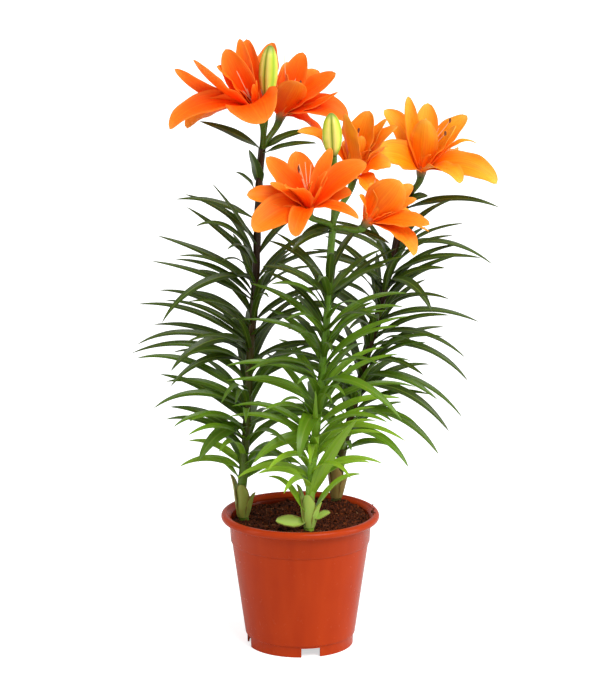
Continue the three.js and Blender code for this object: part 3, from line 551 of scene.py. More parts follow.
# Blossoms: the foot of each one, the way it faces, the mix of its colour from orange to amber, and
# its petals: the tip's place from that foot, the width, then in degrees how the rib's start bends
# to the blossom's axis, how its end bends outwards, and how far the upper face turns to the front.
blossoms = {
    "bloom_left_outer": {
        "base": (-44, -20, 582), "facing": (-0.42, -0.3, 0.86), "amber": 0.12,
        "petals": [
            (-86, -5, 47, 16, -15, -15, 40), (-65, -34, 61, 36, -8, -18, -15),
            (-91, -25, -13, 30, 45, 50, 15), (-74, 5, -17, 34, 50, 40, -55), (-33, -15, 69, 30, 6, 25, 20),
            (-19, 12, 76, 18, 8, 5, 30), (-12, 22, 74, 26, 10, 5, 10), (14, 54, 66, 34, -30, 0, 0),
            (8, -60, 0, 58, 74, 60, 12), (-42, -20, 52, 18, 0, 20, 30), (-18, -2, 41, 20, 8, 5, 20),
            (-28, 42, 47, 30, 25, 30, 0),
        ],
    },
    "bloom_left_inner": {
        "base": (-22, 12, 569), "facing": (0.3, -0.1, 0.95), "amber": 0.12,
        "petals": [
            (25, 5, 71, 28, 12, 5, 20), (59, -5, 51, 30, 15, 0, 40), (61, -20, 33, 14, -5, -12, 20),
            (71, -14, 2, 34, 45, 45, 35), (49, 14, -34, 24, 55, 35, 20), (19, -38, 47, 36, 25, -5, 0),
            (8, -12, 51, 18, 10, 5, 20), (-18, -4, 25, 18, 20, 25, 30), (11, 30, 57, 28, 15, 20, 0),
            (40, 35, 48, 28, 20, 25, 0), (50, 45, 9, 28, 40, 40, 0),
        ],
    },
    "bloom_middle_front": {
        "base": (9, -60, 484), "facing": (-0.05, -0.42, 0.9), "amber": 0.22,
        "petals": [
            (-44, -15, 61, 26, 20, 5, 30), (-14, 10, 63, 34, 10, -5, 0), (23, 12, 66, 18, 12, 5, 25),
            (59, -5, 53, 34, 20, 20, 25), (51, -30, 0, 14, 45, 40, 0), (-14, -50, -15, 24, 58, 62, 0),
            (-57, -40, -11, 38, 45, 30, 20), (-64, -15, 22, 26, 30, 15, 35), (18, -25, 48, 12, 5, 10, 20),
            (-40, -30, 37, 14, 15, 10, 20), (-23, -45, 35, 26, 22, 22, 0), (-10, 35, 36, 28, 25, 30, 0),
            (44, 0, 22, 24, 30, 25, 20),
        ],
    },
    "bloom_middle_back": {
        "base": (55, -10, 509), "facing": (0.15, -0.05, 0.98), "amber": 0.75,
        "petals": [
            (-58, -14, 54, 14, 30, 50, 50), (-8, -15, 73, 34, 10, -10, 0), (17, 5, 73, 38, 8, 5, 0),
            (35, -5, 66, 18, 10, 10, 30), (46, -10, 59, 26, 15, 15, 30), (40, 2, 15, 30, 40, 40, 30),
            (17, -12, -12, 30, 62, 62, 0), (-3, 35, 36, 28, 25, 30, 0), (34, 33, 31, 26, 25, 30, 0),
            (9, -10, 49, 20, 5, 0, 0),
        ],
    },
    "bloom_right": {
        "base": (128, 45, 503), "facing": (0.12, -0.08, 0.99), "amber": 1.0,
        "petals": [
            (-14, -5, 87, 18, 5, -5, 65), (-39, 20, 68, 26, 15, 30, 40), (8, 25, 75, 30, 12, -5, 0),
            (4, -20, 65, 32, 12, -12, 0), (49, 10, 64, 30, 18, 12, 35), (36, -15, 57, 22, 15, -5, 30),
            (60, 15, 33, 9, 20, 60, 0), (-47, -30, 28, 38, 30, 30, 45), (80, -20, -4, 32, 45, 40, 30),
            (40, -45, 1, 30, 45, 45, 0), (-21, 45, 37, 30, 25, 30, 0), (38, 45, 20, 30, 35, 35, 0),
        ],
    },
    "bloom_middle_side": {
        "base": (66, -60, 470), "facing": (0.55, -0.15, 0.82), "amber": 0.5,
        "petals": [
            (36, -20, 52, 42, 20, -20, 0), (-5, -15, 36, 14, 25, 20, 30), (8, 15, 43, 20, 20, 10, 0),
            (54, 0, 29, 16, 10, 10, 30), (51, 20, 40, 20, 10, 15, 30), (67, -25, 7, 28, 20, 5, 30),
            (67, -5, -4, 10, 25, 20, 0), (51, -30, -25, 24, 40, 50, 20), (32, 30, 32, 28, 15, 25, 0),
            (53, 30, 6, 24, 30, 30, 0),
        ],
    },
}
# Buds: foot, tip and fullest radius, and how far its grooves are turned, in degrees.
buds = {
    "bud_left": {"base": (-34, -18, 597), "tip": (-31, -18, 652), "radius": 10.2, "turn": 0},
    "bud_middle": {"base": (34, -40, 540), "tip": (32, -40, 585), "radius": 10.4, "turn": 28},
}
# Stalks: the stem, the height that the stalk leaves it at, and the blossom or bud on its end.
stalks = [
    ("left", 538, "bloom_left_outer"), ("left", 534, "bloom_left_inner"), ("left", 540, "bud_left"),
    ("middle", 460, "bloom_middle_front"), ("middle", 464, "bloom_middle_back"),
    ("middle", 458, "bloom_middle_side"), ("middle", 465, "bud_middle"), ("right", 474, "bloom_right"),
]


def ease(share):
    return np.sin(np.clip(share, 0, 1) * np.pi / 2)


def through(points):
    """A smooth curve through points, for any shares of the way along it."""
    points = np.array(points, float) * mm
    ends = [2 * points[0] - points[1], *points, 2 * points[-1] - points[-2]]
    knots = np.array(ends)

    def at(share):
        way = np.atleast_1d(share) * (len(points) - 1)
        step = np.clip(np.floor(way).astype(int), 0, len(points) - 2)
        t = (way - step)[:, None]
        before, start, end, after = (knots[step + k] for k in range(4))
        leave, arrive = (end - before) / 2, (after - start) / 2
        return (start + leave * t + (3 * (end - start) - 2 * leave - arrive) * t ** 2
                + (2 * (start - end) + leave + arrive) * t ** 3)
    return at


stem_curves = {name: through(stem["path"]) for name, stem in stems.items()}


def stem_radius(share):
    return mix(stem_foot_radius, stem_top_radius, ease(share * stem_taper))


def stem_place(name, height):
    """The place on a stem's centreline at a height in millimetres."""
    low, high = 0.0, 1.0
    for _ in range(30):
        middle = (low + high) / 2
        if stem_curves[name](middle)[0][2] < height * mm:
            low = middle
        else:
            high = middle
    return stem_curves[name](low)[0]


def stalk_curve(stem, height, carried):
    """A stalk leaves its stem along it and bends into line with what it carries."""
    start = stem_place(stem, height)
    onwards = unit(start - stem_place(stem, height - stalk_lead))
    flower = blossoms.get(carried) or buds[carried]
    base = np.array(flower["base"]) * mm
    facing = flower.get("facing") or np.array(flower["tip"]) * mm - base
    facing = unit(np.array(facing, float))
    end = base - facing * joint_gap
    span = np.linalg.norm(end - start)
    leaving, arriving = onwards * stalk_bend[0] * span, facing * stalk_bend[1] * span
    return bezier([start, start + leaving, end - arriving, end])


def stalk_radius_at(share):
    return mix(stalk_radius, stalk_end_radius, share ** 4)


stem_sides = 20
stem_swell = {"depth": 0.25 * mm, "waves": 19, "ends_at": 0.9}
stem_darkening = {"pace": 2.2, "start": 0.5}
stalk_tones = (0.3, 0.22)
stem_blank = grid_blank(stem_sides, stem_rows)
stalk_blank = grid_blank(16, stalk_rows)
stem_pieces = {}
for name, stem in stems.items():
    def stem_skin(share, angle):
        swell = stem_swell["depth"] * np.sin(2 * np.pi * share * stem_swell["waves"] + 2 * np.sin(angle))
        return stem_radius(share) + swell * (share < stem_swell["ends_at"])
    shoot = shaped(stem_blank, tube(stem_curves[name], stem_skin, stem_rows))
    heights = np.linspace(0, 1, stem_rows + 1)
    low_tone, high_tone = stem["tones"]
    climb = np.clip(heights * stem_darkening["pace"] - stem_darkening["start"], 0, 1)
    darkness = np.repeat(mix(low_tone, high_tone, climb), stem_sides + 1)
    shoot.data.attributes["tone"].data.foreach_set("value", darkness.astype(np.float32))
    parts = [shoot]
    for stalk_stem, height, carried in stalks:
        if stalk_stem == name:
            line = stalk_curve(name, height, carried)
            skin = tube(line, lambda s, a: stalk_radius_at(s), stalk_rows)
            parts.append(shaped(stalk_blank, skin, stalk_tones[0] + stalk_tones[1] * high_tone))
    stem_pieces[name] = joined(f"stem_{name}", parts, 70)

# Stem skin: a thin waxy coat that shines softly, with fine lengthways ribs and small brown flecks.
skin = new_material(
    "Waxy lily stem",
    {"Roughness": 0.4, "Specular IOR Level": 0.25, "Subsurface Weight": 0.1,
     "Subsurface Scale": 1 * mm})
stem_tone = add_node(skin, "Attribute", attribute_name="tone")
stem_colour = add_node(
    skin, "ValToRGB", {"Fac": stem_tone},
    stops=[(0.0, "#86B038"), (0.3, "#5A8220"), (0.6, "#465016"), (0.8, "#40300F"), (1.0, "#2C180A")])
places = add_node(skin, "TexCoord").outputs["Object"]
rib_places = add_node(skin, "Mapping", {"Vector": places, "Scale": (1, 1, 0.05)})
ribs = add_node(skin, "TexNoise", {"Vector": rib_places, "Scale": 1 / (1.5 * mm), "Detail": 3.0})
flecks = add_node(skin, "TexNoise", {"Vector": places, "Scale": 1 / (3 * mm), "Detail": 5.0})
fleck_share = add_node(
    skin, "MapRange",
    {"Value": flecks, "From Min": 0.5, "From Max": 0.72, "To Min": 0.0, "To Max": 0.55})
flecked = add_node(
    skin, "Mix", {0: fleck_share, 6: stem_colour, 7: linear("#38200F")}, data_type="RGBA")
rib_bump = add_node(skin, "Bump", {"Height": ribs, "Strength": 0.35, "Distance": 0.3 * mm})
dress(skin, Base_Color=flecked, Normal=rib_bump)
for name, piece in stem_pieces.items():
    finish_piece(piece, [skin], f"leafy_stem_{name}")

# Leaves: narrow lance-shaped blades that arch away from the stem on every side, folded a little
# along the rib. They grow from the stem without a stalk, and are broad and bright low down, and
# slim and dark higher up.
leaf_form = {"root_reach": 1.5 * mm, "root_share": 0.55, "widest": 0.34, "cup": 0.2, "taper": (2.4, 0.85)}
scale_form = {"root_reach": 5 * mm, "root_share": 0.7, "widest": 0.55, "cup": 0.5, "taper": (4, 0.6)}
rib_bend = 0.37
# A leaf's upper face turns this far to the front, towards the light, over the first part of its length.
leaf_face = 42
full_roll_share = 0.4
# Leaves that stand out in the plant's outline: height on the stem, tip, width, lift and droop, and
# for a few of them the angle of the face.
marked_leaves = {
    "left": [
        (541, -104, -30, 575, 14, 8, 8), (539, 13, -10, 562, 12, 22, 18), (536, 17, -35, 553, 10, 12, 12),
        (507, -53, -24, 544, 17, 14, 8), (492, -67, -20, 520, 12, 20, 20),
        (465, -130, -10, 489, 8, 15, 22), (420, -120, 20, 475, 8, 5, 8), (438, -91, -30, 509, 11, 4, 4),
        (420, -109, -35, 465, 9, 38, 55), (397, -150, 0, 448, 9, 12, 10), (378, -155, -25, 426, 8, 12, 12),
        (404, -145, -40, 363, 10, 38, 38), (345, -150, 20, 385, 8, 18, 25), (330, -173, 10, 372, 8, 22, 25),
        (318, -157, 40, 343, 9, 25, 22), (324, -172, -20, 335, 9, 22, 35), (308, -180, 25, 315, 9, 28, 28),
        (275, -173, -15, 319, 10, 18, 32), (330, -136, -45, 312, 13, 48, 40),
        (308, -136, -50, 297, 10, 50, 40), (247, -150, 20, 293, 11, 20, 20),
        (258, -155, -30, 268, 9, 38, 42), (225, -139, 0, 262, 11, 22, 25), (236, -134, -35, 249, 9, 45, 45),
        (241, -108, -25, 208, 17, 45, 35), (179, -100, -15, 208, 8, 20, 45),
    ],
    "middle": [
        (464, 1, -50, 458, 12, 25, 20), (462, 93, -62, 452, 10, 22, 20), (460, -10, -75, 446, 10, 30, 25),
        (392, 91, -60, 430, 12, 15, 15), (392, -40, -60, 428, 11, 20, 25),
        (228, 16, -75, 299, 7, -15, -25), (172, 60, -80, 270, 16, 10, 12, -50),
        (262, -1, -105, 233, 19, 60, 60),
        (236, -49, -62, 217, 15, 45, 35), (152, -34, -50, 199, 10, 10, 45), (154, 64, -55, 203, 11, 15, 40),
        (300, 106, -85, 269, 12, 45, 30),
    ],
    "right": [
        (468, 211, 40, 471, 10, 20, 25), (472, 135, 24, 486, 15, 25, 20, 62),
        (425, 206, 60, 405, 8, 35, 28), (395, 192, 30, 418, 9, 25, 22),
        (380, 154, 20, 409, 11, 25, 25), (390, 139, -10, 368, 13, 45, 40), (345, 191, 40, 346, 9, 28, 25),
        (330, 178, 60, 302, 9, 35, 28), (318, 179, 10, 288, 10, 38, 35), (300, 131, 0, 297, 9, 30, 25),
        (285, 147, 20, 265, 10, 32, 25), (285, 175, 50, 238, 9, 38, 30), (275, 159, 0, 235, 12, 35, 30),
        (247, 149, 20, 204, 12, 40, 32), (225, 116, 0, 195, 11, 35, 35),
    ],
}
# The rule for the other leaves: a spiral of the golden angle whose sizes change up the stem.
golden_angle = 137.508
leaf_reach = (68, 104, 88)
leaf_rise = (14, 30)
leaf_lift = (38, 24)
leaf_width = (9.6, 7.6)
leaf_spread = {"height": 3, "reach": 7, "rise": 9, "lift": 7, "width": 1}
full_reach_share = 0.45
# Turns, rises and reaches that a leaf tries in order, until it is clear of the others.
leaf_tries = [
    (0, 0, 1), (9, 6, 1), (-9, -6, 1), (18, -8, 1), (-18, 8, 1), (28, 14, 0.92), (-28, -12, 0.92),
    (12, 20, 0.85), (-12, 24, 0.78), (36, 4, 0.85), (-36, 10, 0.78), (0, 30, 0.68),
]
blade_gap = 3.4 * mm
own_blade_gap = 2.6 * mm
stem_gap = 2.2 * mm
crowded_share = 0.3
rim_room = {"above": 4 * mm, "outside": 6 * mm, "free_share": 0.2}
sample_spacing = 2.6 * mm
samples_along = {"stem": 185, "stalk": 24, "bud": 22}
farthest_gap = 13 * mm
upwards = np.array([0, 0, 1.0])


class Blade:
    """A leaf or petal: a rib that bends in one plane, with a thin blade that opens to both sides."""

    def __init__(self, foot, tip, axis, lift, droop, width, form, face=leaf_face):
        outwards = tip - foot
        outwards = unit(outwards - axis * (outwards @ axis))
        root = foot + outwards * form["root_reach"]
        chord = tip - root
        self.reach = np.linalg.norm(chord)
        fall = math.atan2(chord @ outwards, chord @ axis)

        def heading(angle):
            return axis * math.cos(angle) + outwards * math.sin(angle)
        first = root + heading(fall - math.radians(lift)) * rib_bend * self.reach
        second = tip - heading(fall + math.radians(droop)) * rib_bend * self.reach
        self.rib = bezier([root, first, second, tip])
        self.side = unit(np.cross(axis, outwards))
        self.roll = math.radians(face) * self.side[1]
        self.width = width
        self.form = form

    def half_width(self, share):
        opening = mix(self.form["root_share"], 1, ease(share / self.form["widest"]))
        power, roundness = self.form["taper"]
        return 0.5 * self.width * opening * (1 - share ** power) ** roundness

    def surface(self, share, across, height=0.0, twist=0.0):
        """Points at shares of the length and of the half width, and a height off the blade."""
        step = 0.0001
        tangent = unit(self.rib(np.clip(share + step, 0, 1)) - self.rib(np.clip(share - step, 0, 1)))
        normal = unit(np.cross(tangent, self.side))
        turn = (self.roll * ease(share / full_roll_share) + twist)[:, None]
        side = self.side * np.cos(turn) + normal * np.sin(turn)
        normal = normal * np.cos(turn) - self.side * np.sin(turn)
        half = self.half_width(share)
        lift = self.form["cup"] * half * across ** 2 + height
        return self.rib(share) + side * (across * half)[:, None] + normal * lift[:, None]

    def samples(self):
        """Points spread evenly over the blade, each with its share of the length."""
        rows = math.ceil(self.reach / sample_spacing)
        half = math.ceil(self.width / sample_spacing / 2)
        share, across = np.meshgrid(np.arange(rows + 1) / rows, np.arange(-half, half + 1) / half)
        share, across = share.ravel(), across.ravel()
        return self.surface(share, across), share


placed = []


def place_samples(owner, points, shares, gaps=None):
    placed.append((owner, points, shares, gaps, points.min(0), points.max(0)))


def is_clear(owner, points, shares, room=1.0):
    """Whether a blade's samples keep their distance from everything that is already placed."""
    low, high = points.min(0) - farthest_gap, points.max(0) + farthest_gap
    for other, their_points, their_shares, gaps, their_low, their_high in placed:
        if (their_low > high).any() or (their_high < low).any():
            continue
        near = ((their_points >= low) & (their_points <= high)).all(1)
        mine = points
        gap = np.full(len(their_points), blade_gap * room) if gaps is None else gaps
        if other == owner:
            near &= their_shares >= crowded_share
            mine = points[shares >= crowded_share]
            gap = np.full(len(their_points), own_blade_gap * room) if gaps is None else gaps
        if not near.any() or not len(mine):
            continue
        distance = ((mine[:, None] - their_points[near][None]) ** 2).sum(2)
        if (distance < gap[near] ** 2).any():
            return False
    return True


def clear_of_pot(points, shares):
    outside = np.hypot(points[:, 0], points[:, 1]) > rim_radius + rim_room["outside"]
    above = points[:, 2] > pot_height + rim_room["above"]
    return bool(((shares < rim_room["free_share"]) | above | outside).all())


def place_tube(owner, curve, radius_at, count):
    shares = np.arange(count + 1) / count
    place_samples(owner, curve(shares), np.zeros(count + 1), radius_at(shares) + stem_gap)


petal_form = {"root_reach": 2.5 * mm, "root_share": 0.22, "widest": 0.58, "cup": 0.3, "taper": (4.2, 0.6)}
petal_root_height = 5 * mm


def petals_of(blossom):
    """The blades of a blossom's petals."""
    axis = unit(np.array(blossom["facing"], float))
    base = np.array(blossom["base"]) * mm
    blades = []
    for x, y, z, width, lift, curl, face in blossom["petals"]:
        tip = base + np.array([x, y, z]) * mm
        foot = base + axis * petal_root_height
        blades.append(Blade(foot, tip, axis, lift, curl, width * mm, petal_form, face))
    return blades


for blossom in blossoms.values():
    for petal in petals_of(blossom):
        place_samples("blossom", *petal.samples())
for bud in buds.values():
    foot, tip = np.array(bud["base"]) * mm, np.array(bud["tip"]) * mm
    radius = np.full(samples_along["bud"] + 1, bud["radius"] * mm)
    place_tube("bud", straight(foot, tip), lambda s, r=radius: r, samples_along["bud"])
for name in stems:
    place_tube(name, stem_curves[name], stem_radius, samples_along["stem"])
for stem, height, carried in stalks:
    place_tube(stem, stalk_curve(stem, height, carried), stalk_radius_at, samples_along["stalk"])

leaves = {name: [] for name in stems}
for name, marked in marked_leaves.items():
    for height, x, y, z, width, lift, droop, *face in marked:
        tip = np.array([x, y, z]) * mm
        leaf = Blade(stem_place(name, height), tip, upwards, lift, droop, width * mm, leaf_form, *face)
        place_samples(name, *leaf.samples())
        leaves[name].append((leaf, height))


def direction(turn, rise):
    turn, rise = math.radians(turn), math.radians(rise)
    return np.array([math.cos(rise) * math.cos(turn), math.cos(rise) * math.sin(turn), math.sin(rise)])


def grow_spiral(name, low, high, count, seed, first_turn, room=1.0):
    """Adds leaves to a stem by the rule, each where it is clear of all that are there already."""
    random = make_random(seed)
    for i in range(count):
        share = i / (count - 1)
        draws = [2 * random() - 1 for _ in range(5)]
        height = mix(low, high, share) + leaf_spread["height"] * draws[0]
        reach = mix(leaf_reach[0], leaf_reach[1], ease(share / full_reach_share))
        reach += (leaf_reach[2] - leaf_reach[1]) * share * share + leaf_spread["reach"] * draws[1]
        rise = mix(*leaf_rise, share) + leaf_spread["rise"] * draws[2]
        lift = mix(*leaf_lift, share) + leaf_spread["lift"] * draws[3]
        width = mix(*leaf_width, share) + leaf_spread["width"] * draws[4]
        turn = first_turn + i * golden_angle
        root = stem_place(name, height)
        for more_turn, more_rise, less_reach in leaf_tries:
            tip = root + direction(turn + more_turn, rise + more_rise) * reach * less_reach * mm
            leaf = Blade(root, tip, upwards, lift, lift, width * mm, leaf_form)
            points, shares = leaf.samples()
            if clear_of_pot(points, shares) and is_clear(name, points, shares, room):
                place_samples(name, points, shares)
                leaves[name].append((leaf, height))
                break


for name, stem in stems.items():
    grow_spiral(name, *stem["leaf_zone"], stem["seed"], stem["first_turn"])
# Further leaves between those, as close as leaves grow on a real stem.
close_room = 0.6
close_leaves = {
    "left": (184, 400, 40, 51, 60), "middle": (178, 400, 46, 52, 110), "right": (194, 420, 40, 53, 200),
}
for name, rule in close_leaves.items():
    grow_spiral(name, *rule, close_room)

# Scale leaves hug the foot of each stem: turn, root height above the soil, length, lean, width and
# face. One lies on the soil at the foot of the middle stem, and a short one curls beside it.
foot_scales = [(-100, 4, 38, 5, 16, 0), (-25, 4, 30, 16, 11, 0), (170, 5, 46, 9, 14, 0)]
middle_scales = [(187, 8.5, 30, 84, 13, 55), (-12, 13, 18, 62, 9, 50)]
scale_leaves = {name: [] for name in stems}
scale_bend = {"lift": -4, "droop": 10, "flare": 1 * mm}
for name, stem in stems.items():
    x, y = np.array(stem["path"][1][:2]) * mm
    ground = soil_height(x, y) / mm
    for turn, rise, length, lean, width, face in foot_scales + (middle_scales if name == "middle" else []):
        root = stem_place(name, ground + rise)
        out = scale_form["root_reach"] + scale_bend["flare"]
        tip = root + direction(turn, 90 - lean) * length * mm + direction(turn, 0) * out
        bend = (scale_bend["lift"], scale_bend["droop"])
        scale_leaves[name].append(Blade(root, tip, upwards, *bend, width * mm, scale_form, face))

leaf_blank = grid_blank(8, 26)
leaf_thickness = 0.55 * mm
leaf_twist = 0.35
leaf_fold = {"depth": 0.35 * mm, "spread": 0.22}
leaf_wave = {"least": 0.25 * mm, "more": 0.3 * mm, "count": 2.6}
tone_spread = 0.5
blade_edge = 50
first_leaf_seed = 300
first_sheath_seed = 350
fresh_height = {"left": (150, 300), "middle": (190, 420), "right": (150, 300)}


def leaf_place(blade, seed):
    """Where a leaf's points go: folded along the rib, with a slow twist and a faintly waved edge."""
    random = make_random(seed)
    twist = (2 * random() - 1) * leaf_twist
    phase = 2 * math.pi * random()
    wave = leaf_wave["least"] + leaf_wave["more"] * random()

    def place_at(u, v):
        across = 1 - 2 * u
        fold = -leaf_fold["depth"] * np.exp(-(across / leaf_fold["spread"]) ** 2) * (1 - v) ** 0.5
        edge = wave * np.sin(2 * np.pi * leaf_wave["count"] * v + phase) * across ** 3 * (1 - v)
        return blade.surface(v, across, fold + edge, twist * np.sin(np.pi * v))
    return place_at


leaf_pieces = {}
for name, blades in leaves.items():
    random = make_random(71)
    low, high = fresh_height[name]
    parts = []
    for number, (blade, height) in enumerate(blades):
        tone = np.clip((height - low) / (high - low) + tone_spread * (random() - 0.5), 0, 1)
        parts.append(shaped(leaf_blank, leaf_place(blade, first_leaf_seed + number), tone))
    leaf_pieces[name] = joined(f"leaves_{name}", parts, blade_edge, leaf_thickness)

sheath_pieces = {}
sheath_thickness = 0.9 * mm
for name, blades in scale_leaves.items():
    dryness = stems[name]["tones"][0]
    parts = []
    for number, blade in enumerate(blades):
        parts.append(shaped(leaf_blank, leaf_place(blade, first_sheath_seed + number), dryness))
    sheath_pieces[name] = joined(f"sheaths_{name}", parts, blade_edge, sheath_thickness)


def blade_shares(material):
    """A blade's shares across and along it, the share along alone, and the distance off its rib."""
    shares = add_node(material, "UVMap", uv_map="UVMap").outputs[0]
    split = add_node(material, "SeparateXYZ", {0: shares})
    off_middle = add_node(material, "Math", {0: split.outputs[0], 1: 0.5}, operation="SUBTRACT")
    aside = add_node(material, "Math", {0: off_middle}, operation="ABSOLUTE")
    return shares, split.outputs[1], aside


# Leaf skin: waxy and softly shining above, paler and matt below. Fine veins run along the blade
# on each side of a pale rib, and fresh low leaves are yellower than the old dark ones.
def leaf_material(name, colours, rib_colour, roughness):
    material = new_material(
        name,
        {"Roughness": roughness, "Specular IOR Level": 0.3, "Subsurface Weight": 0.1,
         "Subsurface Scale": 0.8 * mm})
    tone = add_node(material, "Attribute", attribute_name="tone")
    ground = add_node(
        material, "ValToRGB", {"Fac": tone}, stops=list(zip((0.0, 0.35, 0.7, 1.0), colours)))
    shares, _, aside = blade_shares(material)
    vein_places = add_node(material, "Mapping", {"Vector": shares, "Scale": (14, 0.7, 1)})
    veins = add_node(material, "TexNoise", {"Vector": vein_places, "Scale": 1.0, "Detail": 3.0})
    vein_shade = add_node(
        material, "ValToRGB", {"Fac": veins}, stops=[(0.3, "#C9CFC0"), (0.7, "#FFFFFF")])
    veined = add_node(
        material, "Mix", {0: 0.8, 6: ground, 7: vein_shade}, data_type="RGBA", blend_type="MULTIPLY")
    rib = add_node(
        material, "MapRange",
        {"Value": aside, "From Min": 0.02, "From Max": 0.07, "To Min": 0.45, "To Max": 0.0},
        interpolation_type="SMOOTHSTEP")
    ribbed = add_node(material, "Mix", {0: rib, 6: veined, 7: linear(rib_colour)}, data_type="RGBA")
    bump = add_node(material, "Bump", {"Height": veins, "Strength": 0.5, "Distance": 0.25 * mm})
    dress(material, Base_Color=ribbed, Normal=bump)
    return material


leaf_top = leaf_material(
    "Waxy lily leaf", ("#94BC2C", "#668E16", "#4E6C12", "#3E5210"), "#82983A", 0.34)
leaf_under = leaf_material(
    "Lily leaf underside", ("#BCD07A", "#96AC50", "#74843C", "#5A6630"), "#AAB878", 0.55)
for name, piece in leaf_pieces.items():
    finish_piece(piece, [leaf_top, leaf_under], f"leafy_stem_{name}")

# Scale leaf: thick and pale green, with brown papery edges, and browner where it has dried.
sheath = new_material(
    "Fleshy scale leaf",
    {"Roughness": 0.45, "Specular IOR Level": 0.25, "Subsurface Weight": 0.2,
     "Subsurface Scale": 1.5 * mm})
dryness = add_node(sheath, "Attribute", attribute_name="tone")
sheath_ground = add_node(
    sheath, "ValToRGB", {"Fac": dryness},
    stops=[(0.0, "#A6C258"), (0.45, "#8C9440"), (0.75, "#8A6E3C")])
shares, _, aside = blade_shares(sheath)
worn = add_node(sheath, "TexNoise", {"Vector": shares, "Scale": 3.0, "Detail": 4.0})
worn_edge = add_node(sheath, "Math", {0: aside, 1: worn}, operation="MULTIPLY")
dry_edge = add_node(
    sheath, "MapRange",
    {"Value": worn_edge, "From Min": 0.17, "From Max": 0.26, "To Min": 0.0, "To Max": 0.75},
    interpolation_type="SMOOTHSTEP")
sheath_edged = add_node(
    sheath, "Mix", {0: dry_edge, 6: sheath_ground, 7: linear("#6A4420")}, data_type="RGBA")
sheath_lines = add_node(sheath, "Mapping", {"Vector": shares, "Scale": (18, 0.8, 1)})
sheath_veins = add_node(sheath, "TexNoise", {"Vector": sheath_lines, "Scale": 1.0, "Detail": 3.0})
sheath_bump = add_node(sheath, "Bump", {"Height": sheath_veins, "Strength": 0.5, "Distance": 0.3 * mm})
dress(sheath, Base_Color=sheath_edged, Normal=sheath_bump)
for name, piece in sheath_pieces.items():
    finish_piece(piece, [sheath], f"leafy_stem_{name}")

# Blossoms: double lilies. Soft velvety petals stand in layers about a short green cup, the outer
# ones curl back, and most stamens have turned into small inner petals.
petal_blank = grid_blank(16, 34)
petal_thickness = 0.6 * mm
petal_twist = 0.22
petal_wave = (0.7, 1.5)
petal_wave_counts = (2.3, 4.1)
full_wave_width = 20 * mm
rib_groove = {"depth": 0.7 * mm, "spread": 0.13}
side_groove = {"depth": 0.22 * mm, "spread": 0.1, "place": 0.45}
first_petal_seed = 400
first_petaloid_seed = 600


def petal_place(blade, seed):
    """Where a petal's points go: hollowed along its rib, waved at its edges and a little twisted."""
    random = make_random(seed)
    phase, second_phase = 2 * math.pi * random(), 2 * math.pi * random()
    twist = (2 * random() - 1) * petal_twist
    wave = mix(*petal_wave, random()) * mm * min(1, blade.width / full_wave_width)

    def place_at(u, v):
        across = 1 - 2 * u
        off_side = (np.abs(across) - side_groove["place"]) / side_groove["spread"]
        rib = -rib_groove["depth"] * np.exp(-(across / rib_groove["spread"]) ** 2)
        rib = rib * np.sin(np.pi * np.clip(v * 1.1, 0, 1))
        side_ribs = -side_groove["depth"] * np.exp(-off_side ** 2) * np.sin(np.pi * v)
        edge = np.abs(across) ** 3 * np.sin(np.pi * np.clip(v, 0, 1)) ** 0.7
        long_wave = np.sin(2 * np.pi * petal_wave_counts[0] * v + phase + across)
        short_wave = 0.5 * np.sin(2 * np.pi * petal_wave_counts[1] * v + second_phase)
        ruffle = wave * (long_wave + short_wave) * edge
        return blade.surface(v, across, rib + side_ribs + ruffle, twist * np.sin(np.pi * v))
    return place_at


def along_facing(blossom, *heights):
    """Points on a blossom's axis at heights above its foot, in millimetres."""
    base, axis = np.array(blossom["base"]) * mm, unit(np.array(blossom["facing"], float))
    return [base + axis * height * mm for height in heights]


# Cup: the green swelling where the petals join the stalk.
cup_profile = ((0, 4.1), (0.2, 4.9), (0.4, 5.4), (0.6, 4.9), (0.8, 3.6), (1, 1.2))
cup_height = 16
cup_rows = 16
cup_ribs = 0.06
cup_blank = grid_blank(24, cup_rows)
filament_rows = 14
filament_blank = grid_blank(6, filament_rows)
anther_rows = 10
anther_blank = grid_blank(8, anther_rows)
stamen_root_height = 12
filament_radius = (0.6, 0.32)
anther_reach = 4.5 * mm
anther_radius = 1.3 * mm
# Stamens: turn about the blossom's axis, lean from it, length in millimetres, and an anther or none.
stamens = {
    "bloom_left_outer": ((40, 12, 50, False), (160, 18, 44, True), (280, 14, 48, False)),
    "bloom_left_inner": ((200, 16, 60, False), (300, 24, 40, True), (60, 12, 46, False)),
    "bloom_middle_front": (
        (95, 14, 46, False), (70, 20, 42, False), (120, 24, 38, True), (150, 10, 48, False)),
    "bloom_middle_back": ((30, 14, 46, False), (250, 10, 44, True)),
    "bloom_right": (
        (20, 26, 56, True), (-20, 16, 46, False), (320, 30, 48, True), (100, 14, 50, False)),
    "bloom_middle_side": ((150, 20, 42, False), (170, 28, 40, False), (60, 12, 38, True)),
}
